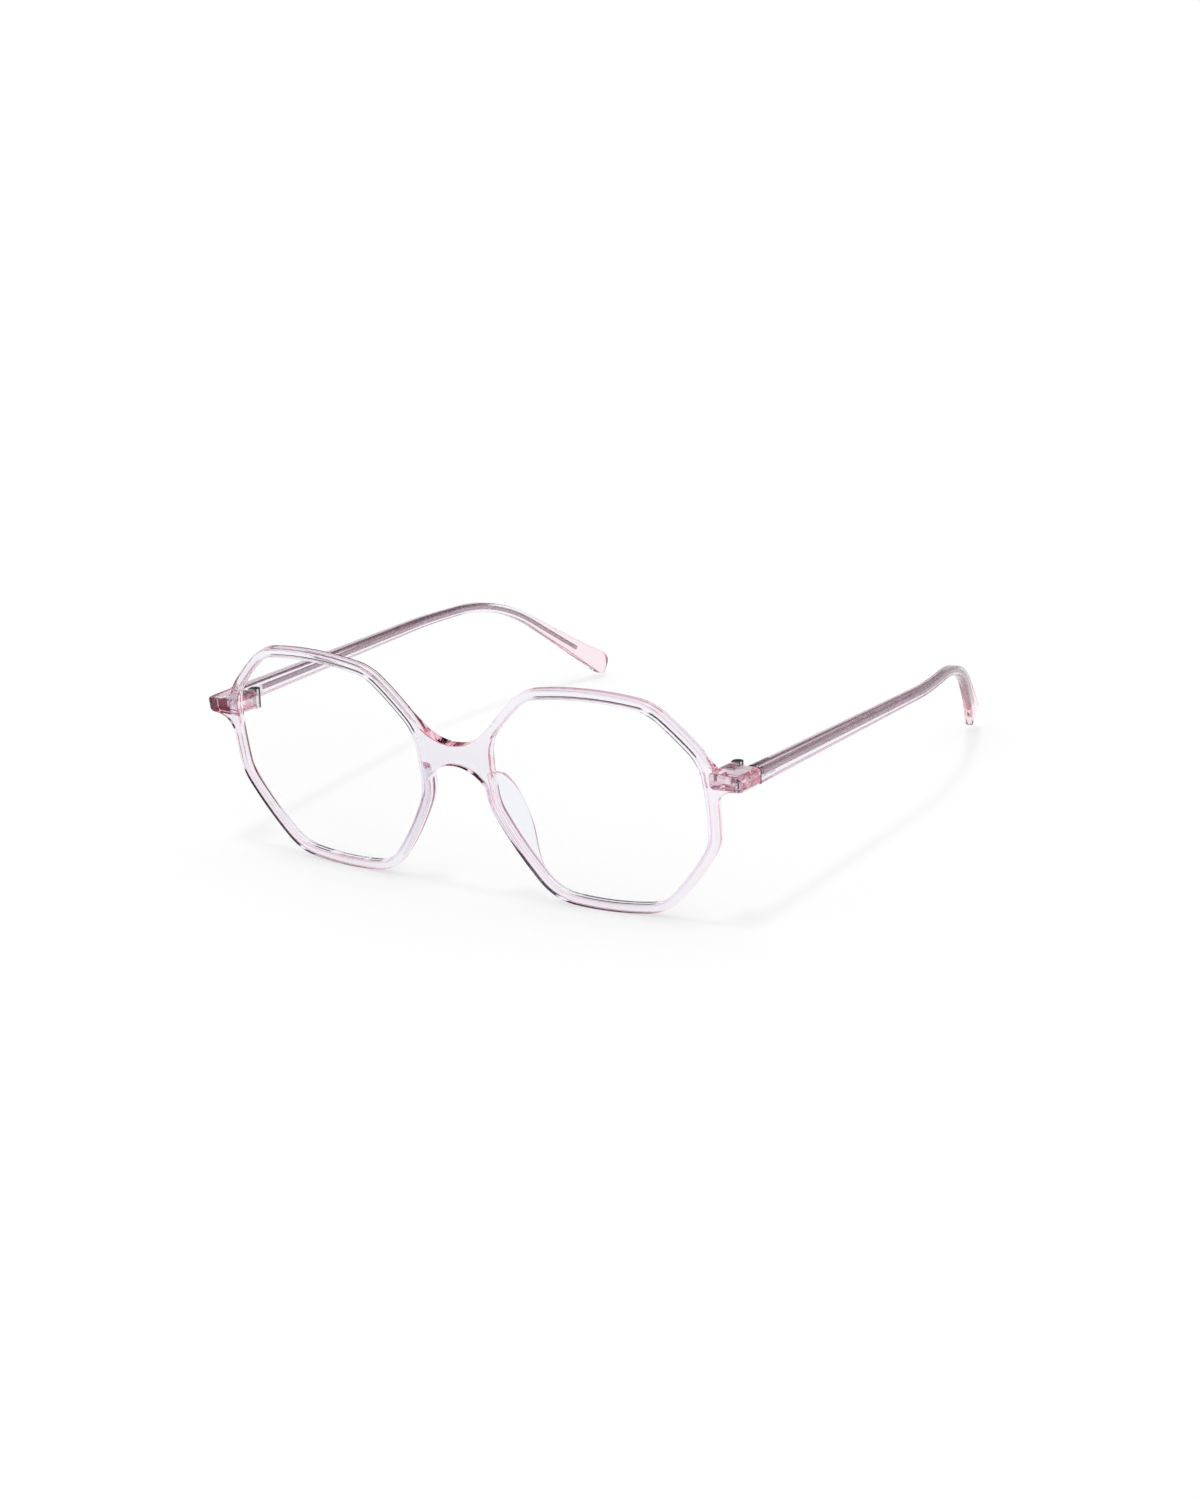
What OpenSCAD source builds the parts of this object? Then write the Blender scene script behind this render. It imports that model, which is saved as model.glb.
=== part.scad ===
// Geometric eyeglasses: a slim clear front with two rounded octagon lenses,
// clear temples with a flat wire core, and a three-knuckle hinge at each end.
// Millimetres. +X across the front to the viewer's right, +Y back to the ears, +Z up.
// The glasses stand open on a table, on the bottom of the rims and on the temple tips.

/* [Front] */
// Radius of the wrap of the front, seen from above
wrap_r = 460; // [300:10:900]
// Thickness of the front, face to back
front_t = 2.6; // [2.4:0.1:3.4]
// Lean of the front when the glasses stand, top forward, in degrees
front_lean = 6.6; // [3:0.2:9]
// Width of the rim around a lens
rim_w = 1.9; // [1.7:0.1:2.6]

/* [Lens opening] */
// Width of a lens opening
lens_w = 51.2; // [48:0.2:54]
// Height of a lens opening
lens_h = 47.8; // [45:0.2:52]
// Distance between the two lens openings
bridge_gap = 18.4; // [16:0.2:22]
// Radius of the rounded corners of the octagon
corner_r = 8; // [5:0.5:10]
// Radius of the gently bowed sides of the octagon
side_r = 75; // [60:5:150]
// Upper outer corner cut, along the width
cut_upper_out_w = 12; // [10:0.5:14]
// Upper outer corner cut, along the height
cut_upper_out_h = 12.4; // [10:0.2:14]
// Lower outer corner cut, along the width
cut_lower_out_w = 13.4; // [11:0.2:15]
// Lower outer corner cut, along the height
cut_lower_out_h = 16.2; // [14:0.2:18]
// Lower nasal corner cut, along the width
cut_lower_in_w = 12.6; // [11:0.2:15]
// Lower nasal corner cut, along the height
cut_lower_in_h = 18.8; // [16:0.2:20]
// Upper nasal corner cut, along the width
cut_upper_in_w = 12.2; // [10:0.2:14]
// Upper nasal corner cut, along the height
cut_upper_in_h = 12.6; // [10:0.2:14]

/* [Lens] */
// Thickness of the lens
lens_t = 1.4; // [1.2:0.1:1.8]
// Thickness of the tongue around the edge of the lens
tongue_t = 0.6; // [0.4:0.05:0.8]
// Depth of the groove in the rim
groove_d = 0.6; // [0.4:0.05:0.8]
// Clearance between the lens and its groove, on every side
lens_gap = 0.04; // [0.02:0.01:0.08]

/* [Bridge] */
// Height of the top of the bridge over the bottom of the rims
bridge_top = 35; // [32:0.5:40]
// Height of the bridge at its middle
bridge_h = 5; // [4:0.25:7]
// Radius of the saddle along the top of the bridge
bridge_top_r = 11; // [8:0.5:11.5]
// Radius of the arch under the bridge
bridge_arch_r = 8.5; // [8:0.25:10]

/* [End piece] */
// Reach of the end piece beyond the lens opening
end_reach = 8.6; // [8:0.2:10]
// Height of the middle of the end piece over the bottom of the rims
end_mid = 33.3; // [31:0.1:35]
// Height of the end piece at its outer end
end_h = 3.8; // [3.6:0.1:5]
// Depth of the end piece, from the front to the face that the temple meets
end_depth = 7.75; // [6:0.25:10]
// Radius of the round between the underside of the end piece and the rim
end_fillet = 3; // [2:0.25:4]
// Radius of the corners of the end piece
end_corner_r = 0.8; // [0.4:0.1:1.2]
// Distance of the end piece's inner side from the edge of the lens opening
end_inset = 0.3; // [0:0.1:1]

/* [Nose pads] */
// Height of a nose pad's upper end over the bottom of the rims
pad_top = 29.5; // [27:0.5:31]
// Height of a nose pad's lower end over the bottom of the rims
pad_bottom = 6; // [4:0.5:12]
// Reach of a nose pad behind the front
pad_reach = 4; // [3:0.2:6]
// Slant of a nose pad's crest towards the lens
pad_splay = 1.9; // [1:0.1:3]
// Thickness of a nose pad along its crest
pad_crest_t = 1.8; // [1.4:0.1:2.4]

/* [Temple] */
// Length of a temple from the joint to the bend
temple_l = 97.5; // [90:0.5:105]
// Length of a temple's tip, from the bend to its end
tip_l = 38.5; // [36:0.5:44]
// Drop of the tip from the line of the temple, in degrees
tip_drop = 37; // [34:0.5:40]
// Inward reach of the tip at its end
tip_in = 17; // [10:0.5:20]
// Distance before the bend at which the temple starts to turn inward
in_lead = 15; // [5:1:25]
// Radius of the bend over the ear
bend_r = 36; // [20:1:44]
// Height of a temple at the hinge
temple_h = 3.8; // [3.4:0.1:4.4]
// Height of a temple at the bend
waist_h = 2.2; // [2:0.1:3]
// Height of the flared tip
tip_h = 5.2; // [4.2:0.2:7]
// Thickness of a temple at the hinge
temple_t = 3.4; // [3:0.1:4]
// Thickness of the tip
tip_t = 2.3; // [2:0.1:3]
// Gap between the end piece and the temple
joint_gap = 0.15; // [0.1:0.05:0.3]

/* [Temple core] */
// Height of the flat core wire at the hinge
core_h = 1.4; // [1.2:0.1:1.8]
// Height of the core wire at its far end
core_end_h = 0.9; // [0.7:0.1:1.1]
// Thickness of the core wire
core_t = 0.8; // [0.6:0.05:1]
// Part of the tip that the core wire reaches through
core_reach = 0.76; // [0.5:0.02:0.85]
// Clearance around the core wire
core_gap = 0.03; // [0.02:0.01:0.06]

/* [Hinge] */
// Height of the hinge, over its three knuckles
hinge_h = 4.4; // [4:0.1:5.4]
// Distance of the hinge's axis from the inner face of the temple
pin_reach = 2.9; // [2:0.1:3.2]
// Radius of the knuckles
knuckle_r = 1.2; // [1.1:0.05:1.5]
// Gap between two knuckles
knuckle_gap = 0.08; // [0.05:0.01:0.15]
// Radius of the screw's shank
screw_r = 0.6; // [0.5:0.05:0.7]
// Running clearance around the shank
screw_gap = 0.04; // [0.02:0.01:0.08]
// Radius of the screw's head
screw_head_r = 0.9; // [0.8:0.05:1]
// Height of the screw's head
screw_head_h = 0.5; // [0.4:0.05:0.7]
// Width of the slot in the screw's head
slot_w = 0.25; // [0.2:0.05:0.35]
// Thickness of the hinge leaves
leaf_t = 0.8; // [0.6:0.05:1]
// Length of the leaf on the temple
temple_leaf_l = 6.5; // [5:0.5:10]
// Height of the leaf on the temple
temple_leaf_h = 2; // [1.6:0.1:2.6]
// Width of the leaf on the end piece
front_leaf_w = 3.6; // [3:0.1:4]
// Height of the leaf on the end piece
front_leaf_h = 2.8; // [2.2:0.1:3.2]
// Width of the anchor head inside the end piece
anchor_w = 3.2; // [2.4:0.1:3.6]
// Height of the anchor head
anchor_h = 1.5; // [1:0.1:2]
// Thickness of the anchor head
anchor_t = 0.6; // [0.4:0.1:0.8]
// Length of the anchor's stem, from the leaf to the head
anchor_stem_l = 1.2; // [0.8:0.1:1.6]
// Clearance between the metal parts and the pockets they are let into
seat_gap = 0.03; // [0.02:0.01:0.06]

/* [Hidden] */
// Facets of the large wrap cylinders, and of bores and pins
wrap_fn = 720;
round_fn = 48;
// Steps along each corner and each side of an octagon, and along a nose pad
corner_steps = 6;
side_steps = 4;
pad_steps = 10;
// More than the size of the whole object, for cutting
big = 400;
// Cut this far past a face, so that no skin is left
past = 1;

// Box of the right-hand lens opening, over the bottom of the rims
open_x0 = bridge_gap / 2;
open_x1 = open_x0 + lens_w;
open_z0 = rim_w;
open_z1 = open_z0 + lens_h;

// The corners of the octagon before rounding, counter-clockwise from the top outer one
octagon = [
    [open_x1 - cut_upper_out_w, open_z1],
    [open_x0 + cut_upper_in_w, open_z1],
    [open_x0, open_z1 - cut_upper_in_h],
    [open_x0, open_z0 + cut_lower_in_h],
    [open_x0 + cut_lower_in_w, open_z0],
    [open_x1 - cut_lower_out_w, open_z0],
    [open_x1, open_z0 + cut_lower_out_h],
    [open_x1, open_z1 - cut_upper_out_h]
];

function wrap_index(i) = (i + len(octagon)) % len(octagon);
function unit(v) = v / norm(v);
function heading(v) = atan2(v[1], v[0]);
// Turn from one direction to another, counter-clockwise
function turn(a, b) = (b - a + 720) % 360;

// Centre of the large arc that bows side i, from corner i to the next one
function side_centre(i) =
    let (a = octagon[i], b = octagon[wrap_index(i + 1)], along = unit(b - a))
    (a + b) / 2 + [-along[1], along[0]] * side_r;

// Centre of the corner arc that is tangent to the two sides at corner i
function corner_centre(i) =
    let (
        c1 = side_centre(wrap_index(i - 1)),
        c2 = side_centre(i),
        reach = side_r - corner_r,
        apart = norm(c2 - c1),
        across = unit([c1[1] - c2[1], c2[0] - c1[0]]),
        rise = sqrt(reach * reach - apart * apart / 4),
        near = (c1 + c2) / 2 + across * rise,
        far = (c1 + c2) / 2 - across * rise
    )
    norm(near - octagon[i]) < norm(far - octagon[i]) ? near : far;

// Points of one corner and the side after it, as [arc centre, arc radius, direction]
function corner_and_side(i, on_corner, on_side) =
    let (
        f = corner_centre(i),
        before = side_centre(wrap_index(i - 1)),
        after = side_centre(i),
        next = corner_centre(wrap_index(i + 1)),
        start = heading(f - before),
        corner_turn = turn(start, heading(f - after)),
        side_start = heading(f - after),
        side_turn = turn(side_start, heading(next - after))
    )
    concat(
        [for (k = [0 : on_corner]) [f, corner_r, start + corner_turn * k / on_corner]],
        [for (k = [1 : on_side - 1]) [after, side_r, side_start + side_turn * k / on_side]]
    );

stations = [for (i = [0 : len(octagon) - 1]) each corner_and_side(i, corner_steps, side_steps)];
// Outline of the lens opening, grown outwards by a distance
function lens_outline(grow) =
    [for (s = stations) s[0] + (s[1] + grow) * [cos(s[2]), sin(s[2])]];

// A place on the wrapped front: across, up, and behind the front face
function wrapped(x, z, depth) = [
    (wrap_r - depth) * sin(x / wrap_r * 180 / PI),
    wrap_r - (wrap_r - depth) * cos(x / wrap_r * 180 / PI),
    z
];

// The stations of the rim that carry a nose pad, from its lower end to its upper end
pad_rim = [
    for (i = [1 : 4], s = corner_and_side(i, pad_steps, pad_steps))
    let (p = s[0] + s[1] * [cos(s[2]), sin(s[2])])
    if (p[0] < open_x0 + lens_w / 2 && p[1] > pad_bottom && p[1] < pad_top) s
];

// The outer edge of the front face of the end piece, in the leaning front
end_x = open_x1 + end_reach;
end_sag = wrap_r - sqrt(wrap_r * wrap_r - end_x * end_x);
end_y = end_sag * cos(front_lean) - end_mid * sin(front_lean);
end_z = end_sag * sin(front_lean) + end_mid * cos(front_lean);
// Lowest point of the rims once the front leans, so that they stand on the table
foot_x = (open_x0 + open_x1) / 2;
foot_drop = (wrap_r - sqrt(wrap_r * wrap_r - foot_x * foot_x)) * sin(front_lean);
// The flat that a rim or a tip stands on is this deep
rest_flat = 0.1;
// The rounded end of a tip: how far back, and how much smaller
tip_round = [[1.2, 0.94], [0.5, 0.84], [0, 0.62]];
// The ring of that round which stands on the table
foot_l = tip_l - tip_round[1][0];
foot_half_h = tip_round[1][1] * tip_h / 2;
slope_a = end_depth + temple_l + foot_l * cos(tip_drop) - foot_half_h * sin(tip_drop);
slope_b = foot_l * sin(tip_drop) + foot_half_h * cos(tip_drop);
stand_h = end_z - foot_drop;
// Slope of the temples at which their tips stand on the table, in degrees
temple_slope = asin(stand_h / norm([slope_a, slope_b])) - atan2(slope_b, slope_a);
// The sweep above the end piece rises this far to the rim
sweep_rise = cut_upper_out_h / 2;
// The end piece's outline stays this far inside its block
block_bury = 0.35;
// Gap between a nose pad and the back of the rim, and the reach that a pad keeps at its ends
pad_gap = 0.02;
pad_end_reach = 0.3;
// Radius of the edges of a temple
temple_round = 0.9;
// How fast the tip turns inward and flares along its length
tip_in_power = 1.45;
flare_power = 2.8;
// Where the temple starts: the middle of the outer edge of the end piece's back face
joint_y = end_y + end_depth * cos(temple_slope);
joint_z = end_z - end_depth * sin(temple_slope);
// Depth of the whole object, which is centred on the origin
rim_top_y = foot_drop - (open_z1 + rim_w) * sin(front_lean);
tip_end_y = joint_y + temple_l * cos(temple_slope) + tip_l * cos(temple_slope + tip_drop)
    + tip_h / 2 * sin(temple_slope + tip_drop);
centre_y = (rim_top_y + tip_end_y) / 2;

// Hinge places, in the frame of the temple: across from the outer edge, and back
temple_in_x = -temple_t;
pin_x = temple_in_x - pin_reach;
// The knuckles stay this far off the face of the end piece
knuckle_off = 0.1;
pin_y = knuckle_r + knuckle_off;
// Half the width of the arms that carry the knuckles
arm_half_w = knuckle_r - 0.2;
knuckle_h = (hinge_h - 2 * knuckle_gap) / 3;
bore_r = screw_r + screw_gap;
core_x = temple_in_x + leaf_t + core_t / 2;

// Sets its children on the table, with the object centred on the origin
module on_table() {
    translate([0, -centre_y, -foot_drop - rest_flat]) children();
}

// Leans its children with the front
module on_front() {
    on_table() rotate([front_lean, 0, 0]) children();
}

// The right-hand side as it is, or the left-hand side mirrored
module on_side(side) {
    if (side > 0) {
        children();
    } else {
        mirror([1, 0, 0]) children();
    }
}

// Frame of a temple: origin at the outer edge of the joint, +Y along the temple
module on_temple(side) {
    on_table() on_side(side)
        translate([end_x, joint_y, joint_z]) rotate([-temple_slope, 0, 0]) children();
}

// A flat outline in X and Z pushed back along Y
module pushed_back(from, length) {
    translate([0, from + length, 0]) rotate([90, 0, 0]) linear_extrude(length) children();
}

// The wrapped sheet between two depths behind the front face
module wrapped_sheet(depth, thickness) {
    translate([0, wrap_r, -big / 2]) difference() {
        cylinder(h = big, r = wrap_r - depth, $fn = wrap_fn);
        translate([0, 0, -past])
            cylinder(h = big + 2 * past, r = wrap_r - depth - thickness, $fn = wrap_fn);
    }
}

// An outline cut from the wrapped sheet
module cut_from_sheet(depth, thickness) {
    intersection() {
        pushed_back(-past, big / 8) children();
        wrapped_sheet(depth, thickness);
    }
}

module rim_outline(grow) {
    polygon(lens_outline(grow));
}

// The bridge: a saddle on top and an arch below, run into both rims
module bridge_outline() {
    half = bridge_gap / 2 + rim_w;
    rim_point = lens_outline(rim_w)[2 * (corner_steps + side_steps)];
    middle = bridge_top + bridge_top_r;
    to_rim = rim_point - [0, middle];
    saddle_end = heading(to_rim) - acos(min(1, bridge_top_r / norm(to_rim)));
    saddle = [for (k = [-12 : 12])
        let (a = -90 + (saddle_end + 90) * k / 12)
        [bridge_top_r * cos(a), middle + bridge_top_r * sin(a)]];
    low = bridge_top - bridge_h - bridge_arch_r;
    arch = [for (a = [10 : 10 : 170])
        [bridge_arch_r * cos(a), low + bridge_arch_r * sin(a)]];
    polygon(concat(
        [[-rim_point[0], rim_point[1]]], saddle, [rim_point, [half, low]], arch, [[-half, low]]
    ));
}

// The right-hand end piece, with a hollow sweep above and a round below
module end_outline() {
    half = end_h / 2 - block_bury;
    top = end_mid + half;
    low = end_mid - half;
    rim_x = open_x1 + rim_w;
    out_x = end_x - 2 * block_bury;
    root_x = open_x1 - past;
    fillet = [for (a = [90 : 15 : 180])
        [rim_x + end_fillet + end_fillet * cos(a), low - end_fillet + end_fillet * sin(a)]];
    sweep = [for (k = [0 : 6])
        let (u = k / 6)
        [root_x + (out_x - past - root_x) * u, top + sweep_rise * pow(1 - u, 1.6)]];
    polygon(concat(
        sweep, [[out_x, top], [out_x, low]], fillet, [[root_x, low - end_fillet]]
    ));
}

// The end piece's block, which runs back in line with the temple to the face that it meets
module end_block(side) {
    width = end_reach - end_inset;
    intersection() {
        on_temple(side) pushed_back(-2 * end_depth, 2 * end_depth) translate([-width / 2, 0])
            rounded_box(width, end_h, end_corner_r);
        on_front() wrapped_sheet(0, 4 * end_depth);
    }
}

// A flat box with round corners
module rounded_box(w, h, r) {
    polygon([for (q = [0 : 3], a = [0 : 30 : 90])
        let (sx = q == 0 || q == 3 ? 1 : -1, sz = q < 2 ? 1 : -1)
        [sx * (w / 2 - r) + r * cos(90 * q + a), sz * (h / 2 - r) + r * sin(90 * q + a)]]);
}

module front_frame() {
    color([0.95, 0.85, 0.89, 0.6]) intersection() {
        translate([-big / 2, -big / 2, 0]) cube(big);
        difference() {
            union() {
                on_front() cut_from_sheet(0, front_t) union() {
                    bridge_outline();
                    for (side = [0, 1]) mirror([side, 0]) {
                        rim_outline(rim_w);
                        end_outline();
                    }
                }
                for (side = [-1, 1]) end_block(side);
            }
            for (side = [-1, 1]) on_front() on_side(side) {
                pushed_back(-2 * past, big / 8) rim_outline(0);
                cut_from_sheet((front_t - tongue_t) / 2 - lens_gap, tongue_t + 2 * lens_gap)
                    rim_outline(groove_d);
            }
            for (side = [-1, 1]) on_temple(side) front_leaf_body(seat_gap);
        }
    }
}

module lens(side) {
    color([0.93, 0.96, 0.98, 0.3]) on_front() on_side(side) union() {
        cut_from_sheet((front_t - lens_t) / 2, lens_t) rim_outline(-lens_gap);
        cut_from_sheet((front_t - tongue_t) / 2, tongue_t) rim_outline(groove_d - lens_gap);
    }
}

// Share of a nose pad's height at a station of the rim, kept off the two ends
function pad_share(s) =
    let (z = s[0][1] + s[1] * sin(s[2]))
    min(0.97, max(0.02, (z - pad_bottom) / (pad_top - pad_bottom)));
// Ring of a nose pad at a station of the rim: flat on the rim's back, round at its crest
function pad_ring(s) =
    let (
        out = [cos(s[2]), sin(s[2])],
        swell = pow(sin(180 * pow(pad_share(s), 1.5)), 0.8),
        reach = pad_end_reach + (pad_reach - pad_end_reach) * swell,
        lean = -pad_splay * swell,
        back = front_t + pad_gap
    )
    [for (p = [
        [rim_w - 0.1, 0],
        [rim_w - 0.1 + 0.15 * lean, 0.45 * reach],
        [pad_crest_t / 2 + 0.75 * lean, 0.85 * reach],
        [pad_crest_t / 4 + lean, reach],
        [-pad_crest_t / 4 + lean, reach],
        [-pad_crest_t / 2 + lean, 0.85 * reach],
        [-pad_crest_t / 3 + 0.55 * lean, 0.4 * reach],
        [0.1, 0]
    ])
        let (q = s[0] + (s[1] + p[0]) * out)
        wrapped(q[0], q[1], back + p[1])
    ];

// A closed skin over rings of points, with a flat end at each side
module skinned(rings) {
    n = len(rings[0]);
    last = (len(rings) - 1) * n;
    sides = [for (i = [0 : len(rings) - 2], j = [0 : n - 1])
        let (a = i * n + j, b = i * n + (j + 1) % n)
        each [[a, b, a + n], [b, b + n, a + n]]];
    polyhedron(
        points = [for (r = rings) each r],
        faces = concat(sides, [[for (j = [n - 1 : -1 : 0]) j]], [[for (j = [0 : n - 1]) last + j]]),
        convexity = 6
    );
}

module nose_pad(side) {
    color([0.92, 0.95, 0.99, 0.6]) on_front() on_side(side)
        skinned([for (i = [len(pad_rim) - 1 : -1 : 0]) pad_ring(pad_rim[i])]);
}

// Length of the middle line of a temple, and where its bend starts and ends
bend_cut = bend_r * tan(tip_drop / 2);
bend_start = temple_l - bend_cut;
bend_arc = bend_r * tip_drop * PI / 180;
temple_path_l = bend_start + bend_arc + tip_l - bend_cut;

// Share of the way from the bend to the end of the tip
function tip_share(s) = max(0, (s - bend_start) / (temple_path_l - bend_start));
// Share of the way from the start of the inward turn to the end of the tip
function in_share(s) =
    max(0, (s - bend_start + in_lead) / (temple_path_l - bend_start + in_lead));
// Angle of the middle line below the line of the temple
function drop_at(s) =
    s < bend_start ? 0 : min(tip_drop, (s - bend_start) / bend_r * 180 / PI);
// Middle line of a temple, in its own frame, at a length from the joint
function path_at(s) =
    let (
        bent = drop_at(s),
        past_bend = max(0, s - bend_start - bend_arc),
        y = min(s, bend_start) + bend_r * sin(bent) + past_bend * cos(tip_drop),
        z = -bend_r * (1 - cos(bent)) - past_bend * sin(tip_drop)
    )
    [-tip_in * pow(in_share(s), tip_in_power), y, z];
// Height and thickness of the temple along its length
function height_at(s) =
    temple_h + (waist_h - temple_h) * min(1, s / bend_start)
    + (tip_h - waist_h) * pow(tip_share(s), flare_power);
function thickness_at(s) =
    temple_t + (tip_t - temple_t) * min(1, s / bend_start);

// A ring around the middle line, from points in its own section
function ring_at(s, section, centre_x) =
    let (c = path_at(s), bent = drop_at(s))
    [for (p = section)
        [c[0] + centre_x + p[0], c[1] + p[1] * sin(bent), c[2] + p[1] * cos(bent)]];

// A rounded bar section of 12 points
function bar_section(w, h, r) =
    [for (q = [0 : 3], a = [0, 45, 90])
        let (sx = q == 0 || q == 3 ? 1 : -1, sz = q < 2 ? 1 : -1)
        [sx * (w / 2 - r) + r * cos(90 * q + a), sz * (h / 2 - r) + r * sin(90 * q + a)]];

// Lengths at which the temple's rings stand
temple_steps = concat(
    [joint_gap, 8, 20, 35, 50, 65, bend_start - 6],
    [for (k = [0 : 6]) bend_start + bend_arc * k / 6],
    [for (k = [1 : 8]) bend_start + bend_arc + (temple_path_l - 2 - bend_start - bend_arc) * k / 8]
);

module temple_body() {
    rings = concat(
        [for (s = temple_steps)
            ring_at(s, bar_section(thickness_at(s), height_at(s), temple_round), -temple_t / 2)],
        [for (e = tip_round)
            let (s = temple_path_l - e[0])
            ring_at(s, bar_section(tip_t * e[1], tip_h * e[1], temple_round * e[1]), -temple_t / 2)]
    );
    skinned(rings);
}

core_end_s = bend_start + core_reach * (temple_path_l - bend_start);
core_steps = concat(
    [for (s = temple_steps) if (s > 1 && s < core_end_s - 2) s],
    [core_end_s]
);

// The core wire, or with a clearance the channel that it lies in
module core_body(start, grow) {
    rings = [for (s = concat([start], core_steps))
        let (
            h = core_h + (core_end_h - core_h) * s / core_end_s + 2 * grow,
            s_end = s == core_end_s ? s + grow : s,
            to_middle = min(1, s / bend_start),
            middle = core_x + (-temple_t / 2 - core_x) * to_middle
        )
        ring_at(s_end, [
            [core_t / 2 + grow, -h / 2],
            [core_t / 2 + grow, h / 2],
            [-core_t / 2 - grow, h / 2],
            [-core_t / 2 - grow, -h / 2]
        ], middle)];
    skinned(rings);
}

module temple(side) {
    color([0.95, 0.86, 0.9, 0.6]) intersection() {
        translate([-big / 2, -big / 2, 0]) cube(big);
        on_temple(side) difference() {
            temple_body();
            core_body(0, core_gap);
            temple_leaf_plate(seat_gap);
        }
    }
}

module temple_core(side) {
    color([0.66, 0.6, 0.62]) on_temple(side)
        core_body(pin_y + knuckle_r, 0);
}

// A block by its lowest corner and its size, grown on every side
module block(low, size, grow = 0) {
    translate([for (v = low) v - grow]) cube([for (v = size) v + 2 * grow]);
}

// The leaf let into the inner face of the temple
module temple_leaf_plate(grow) {
    block(
        [temple_in_x, pin_y, -temple_leaf_h / 2],
        [leaf_t, temple_leaf_l, temple_leaf_h],
        grow
    );
    block(
        [temple_in_x - past, pin_y - knuckle_r, -temple_leaf_h / 2],
        [leaf_t + past, 2 * knuckle_r, temple_leaf_h],
        grow
    );
}

module temple_hinge(side) {
    color([0.72, 0.72, 0.74]) on_temple(side) difference() {
        union() {
            block(
                [temple_in_x, pin_y, -temple_leaf_h / 2],
                [leaf_t, temple_leaf_l, temple_leaf_h]
            );
            block(
                [pin_x, pin_y - arm_half_w, -knuckle_h / 2],
                [temple_in_x - pin_x + leaf_t, 2 * arm_half_w, knuckle_h]
            );
            translate([pin_x, pin_y, -knuckle_h / 2])
                cylinder(h = knuckle_h, r = knuckle_r, $fn = round_fn);
        }
        translate([pin_x, pin_y, -hinge_h]) cylinder(h = 2 * hinge_h, r = bore_r, $fn = round_fn);
    }
}

// The leaf on the back of the end piece, with its anchor inside the plastic
module front_leaf_body(grow) {
    block(
        [pin_x - front_leaf_w / 2, -leaf_t, -front_leaf_h / 2],
        [front_leaf_w, leaf_t + (grow > 0 ? past : 0), front_leaf_h],
        grow
    );
    block(
        [pin_x - anchor_w / 4, -leaf_t - anchor_stem_l, -anchor_h / 2],
        [anchor_w / 2, anchor_stem_l, anchor_h],
        grow
    );
    block(
        [pin_x - anchor_w / 2, -leaf_t - anchor_stem_l - anchor_t, -anchor_h / 2],
        [anchor_w, anchor_t, anchor_h],
        grow
    );
}

module front_hinge(side) {
    color([0.72, 0.72, 0.74]) on_temple(side) difference() {
        union() {
            front_leaf_body(0);
            for (low = [-hinge_h / 2, hinge_h / 2 - knuckle_h]) {
                translate([pin_x, pin_y, low]) cylinder(h = knuckle_h, r = knuckle_r, $fn = round_fn);
                block(
                    [pin_x - arm_half_w, seat_gap, low],
                    [2 * arm_half_w, pin_y - seat_gap, knuckle_h]
                );
            }
            for (low = [-front_leaf_h / 2, knuckle_h / 2 + knuckle_gap]) block(
                [pin_x - arm_half_w, -leaf_t, low],
                [2 * arm_half_w, leaf_t + pin_y, front_leaf_h / 2 - knuckle_h / 2 - knuckle_gap]
            );
        }
        translate([pin_x, pin_y, -hinge_h]) cylinder(h = 2 * hinge_h, r = bore_r, $fn = round_fn);
        translate([pin_x, pin_y, hinge_h / 2 - screw_head_h - seat_gap])
            cylinder(h = hinge_h, r = screw_head_r + seat_gap, $fn = round_fn);
    }
}

module hinge_screw(side) {
    color([0.6, 0.6, 0.62]) on_temple(side) translate([pin_x, pin_y, -hinge_h / 2]) difference() {
        union() {
            cylinder(h = hinge_h - screw_head_h / 2, r = screw_r, $fn = round_fn);
            translate([0, 0, hinge_h - screw_head_h])
                cylinder(h = screw_head_h, r = screw_head_r, $fn = round_fn);
        }
        translate([-screw_head_r * 2, -slot_w / 2, hinge_h - screw_head_h / 2])
            cube([screw_head_r * 4, slot_w, screw_head_h]);
    }
}

front_frame();
lens(-1);  // lens_left
lens(1);  // lens_right
nose_pad(-1);  // nose_pad_left
nose_pad(1);  // nose_pad_right
front_hinge(-1);  // front_hinge_left
front_hinge(1);  // front_hinge_right
hinge_screw(-1);  // hinge_screw_left
hinge_screw(1);  // hinge_screw_right
temple_hinge(-1);  // temple_hinge_left
temple_hinge(1);  // temple_hinge_right
temple(-1);  // temple_left
temple(1);  // temple_right
temple_core(-1);  // temple_core_left
temple_core(1);  // temple_core_right
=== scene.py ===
"""Looks of the geometric eyeglasses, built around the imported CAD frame.

The front, the lenses, the nose pads, the temples and their core wires are remodelled with
rounded, polished edges and stand for their CAD nodes. The hinges and screws stay as packed
and get their metal. Sizes are millimetres and angles degrees, with the names that the CAD
source uses, and a finished mesh is written in metres, in the frame of the CAD.
"""

import logging  # noqa: E402
import math  # noqa: E402
from dataclasses import dataclass  # noqa: E402
from enum import Enum  # noqa: E402
from typing import Callable, Iterable, Sequence  # noqa: E402

import bmesh  # noqa: E402
import bpy  # noqa: E402
from mathutils import Matrix, Vector  # noqa: E402


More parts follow.
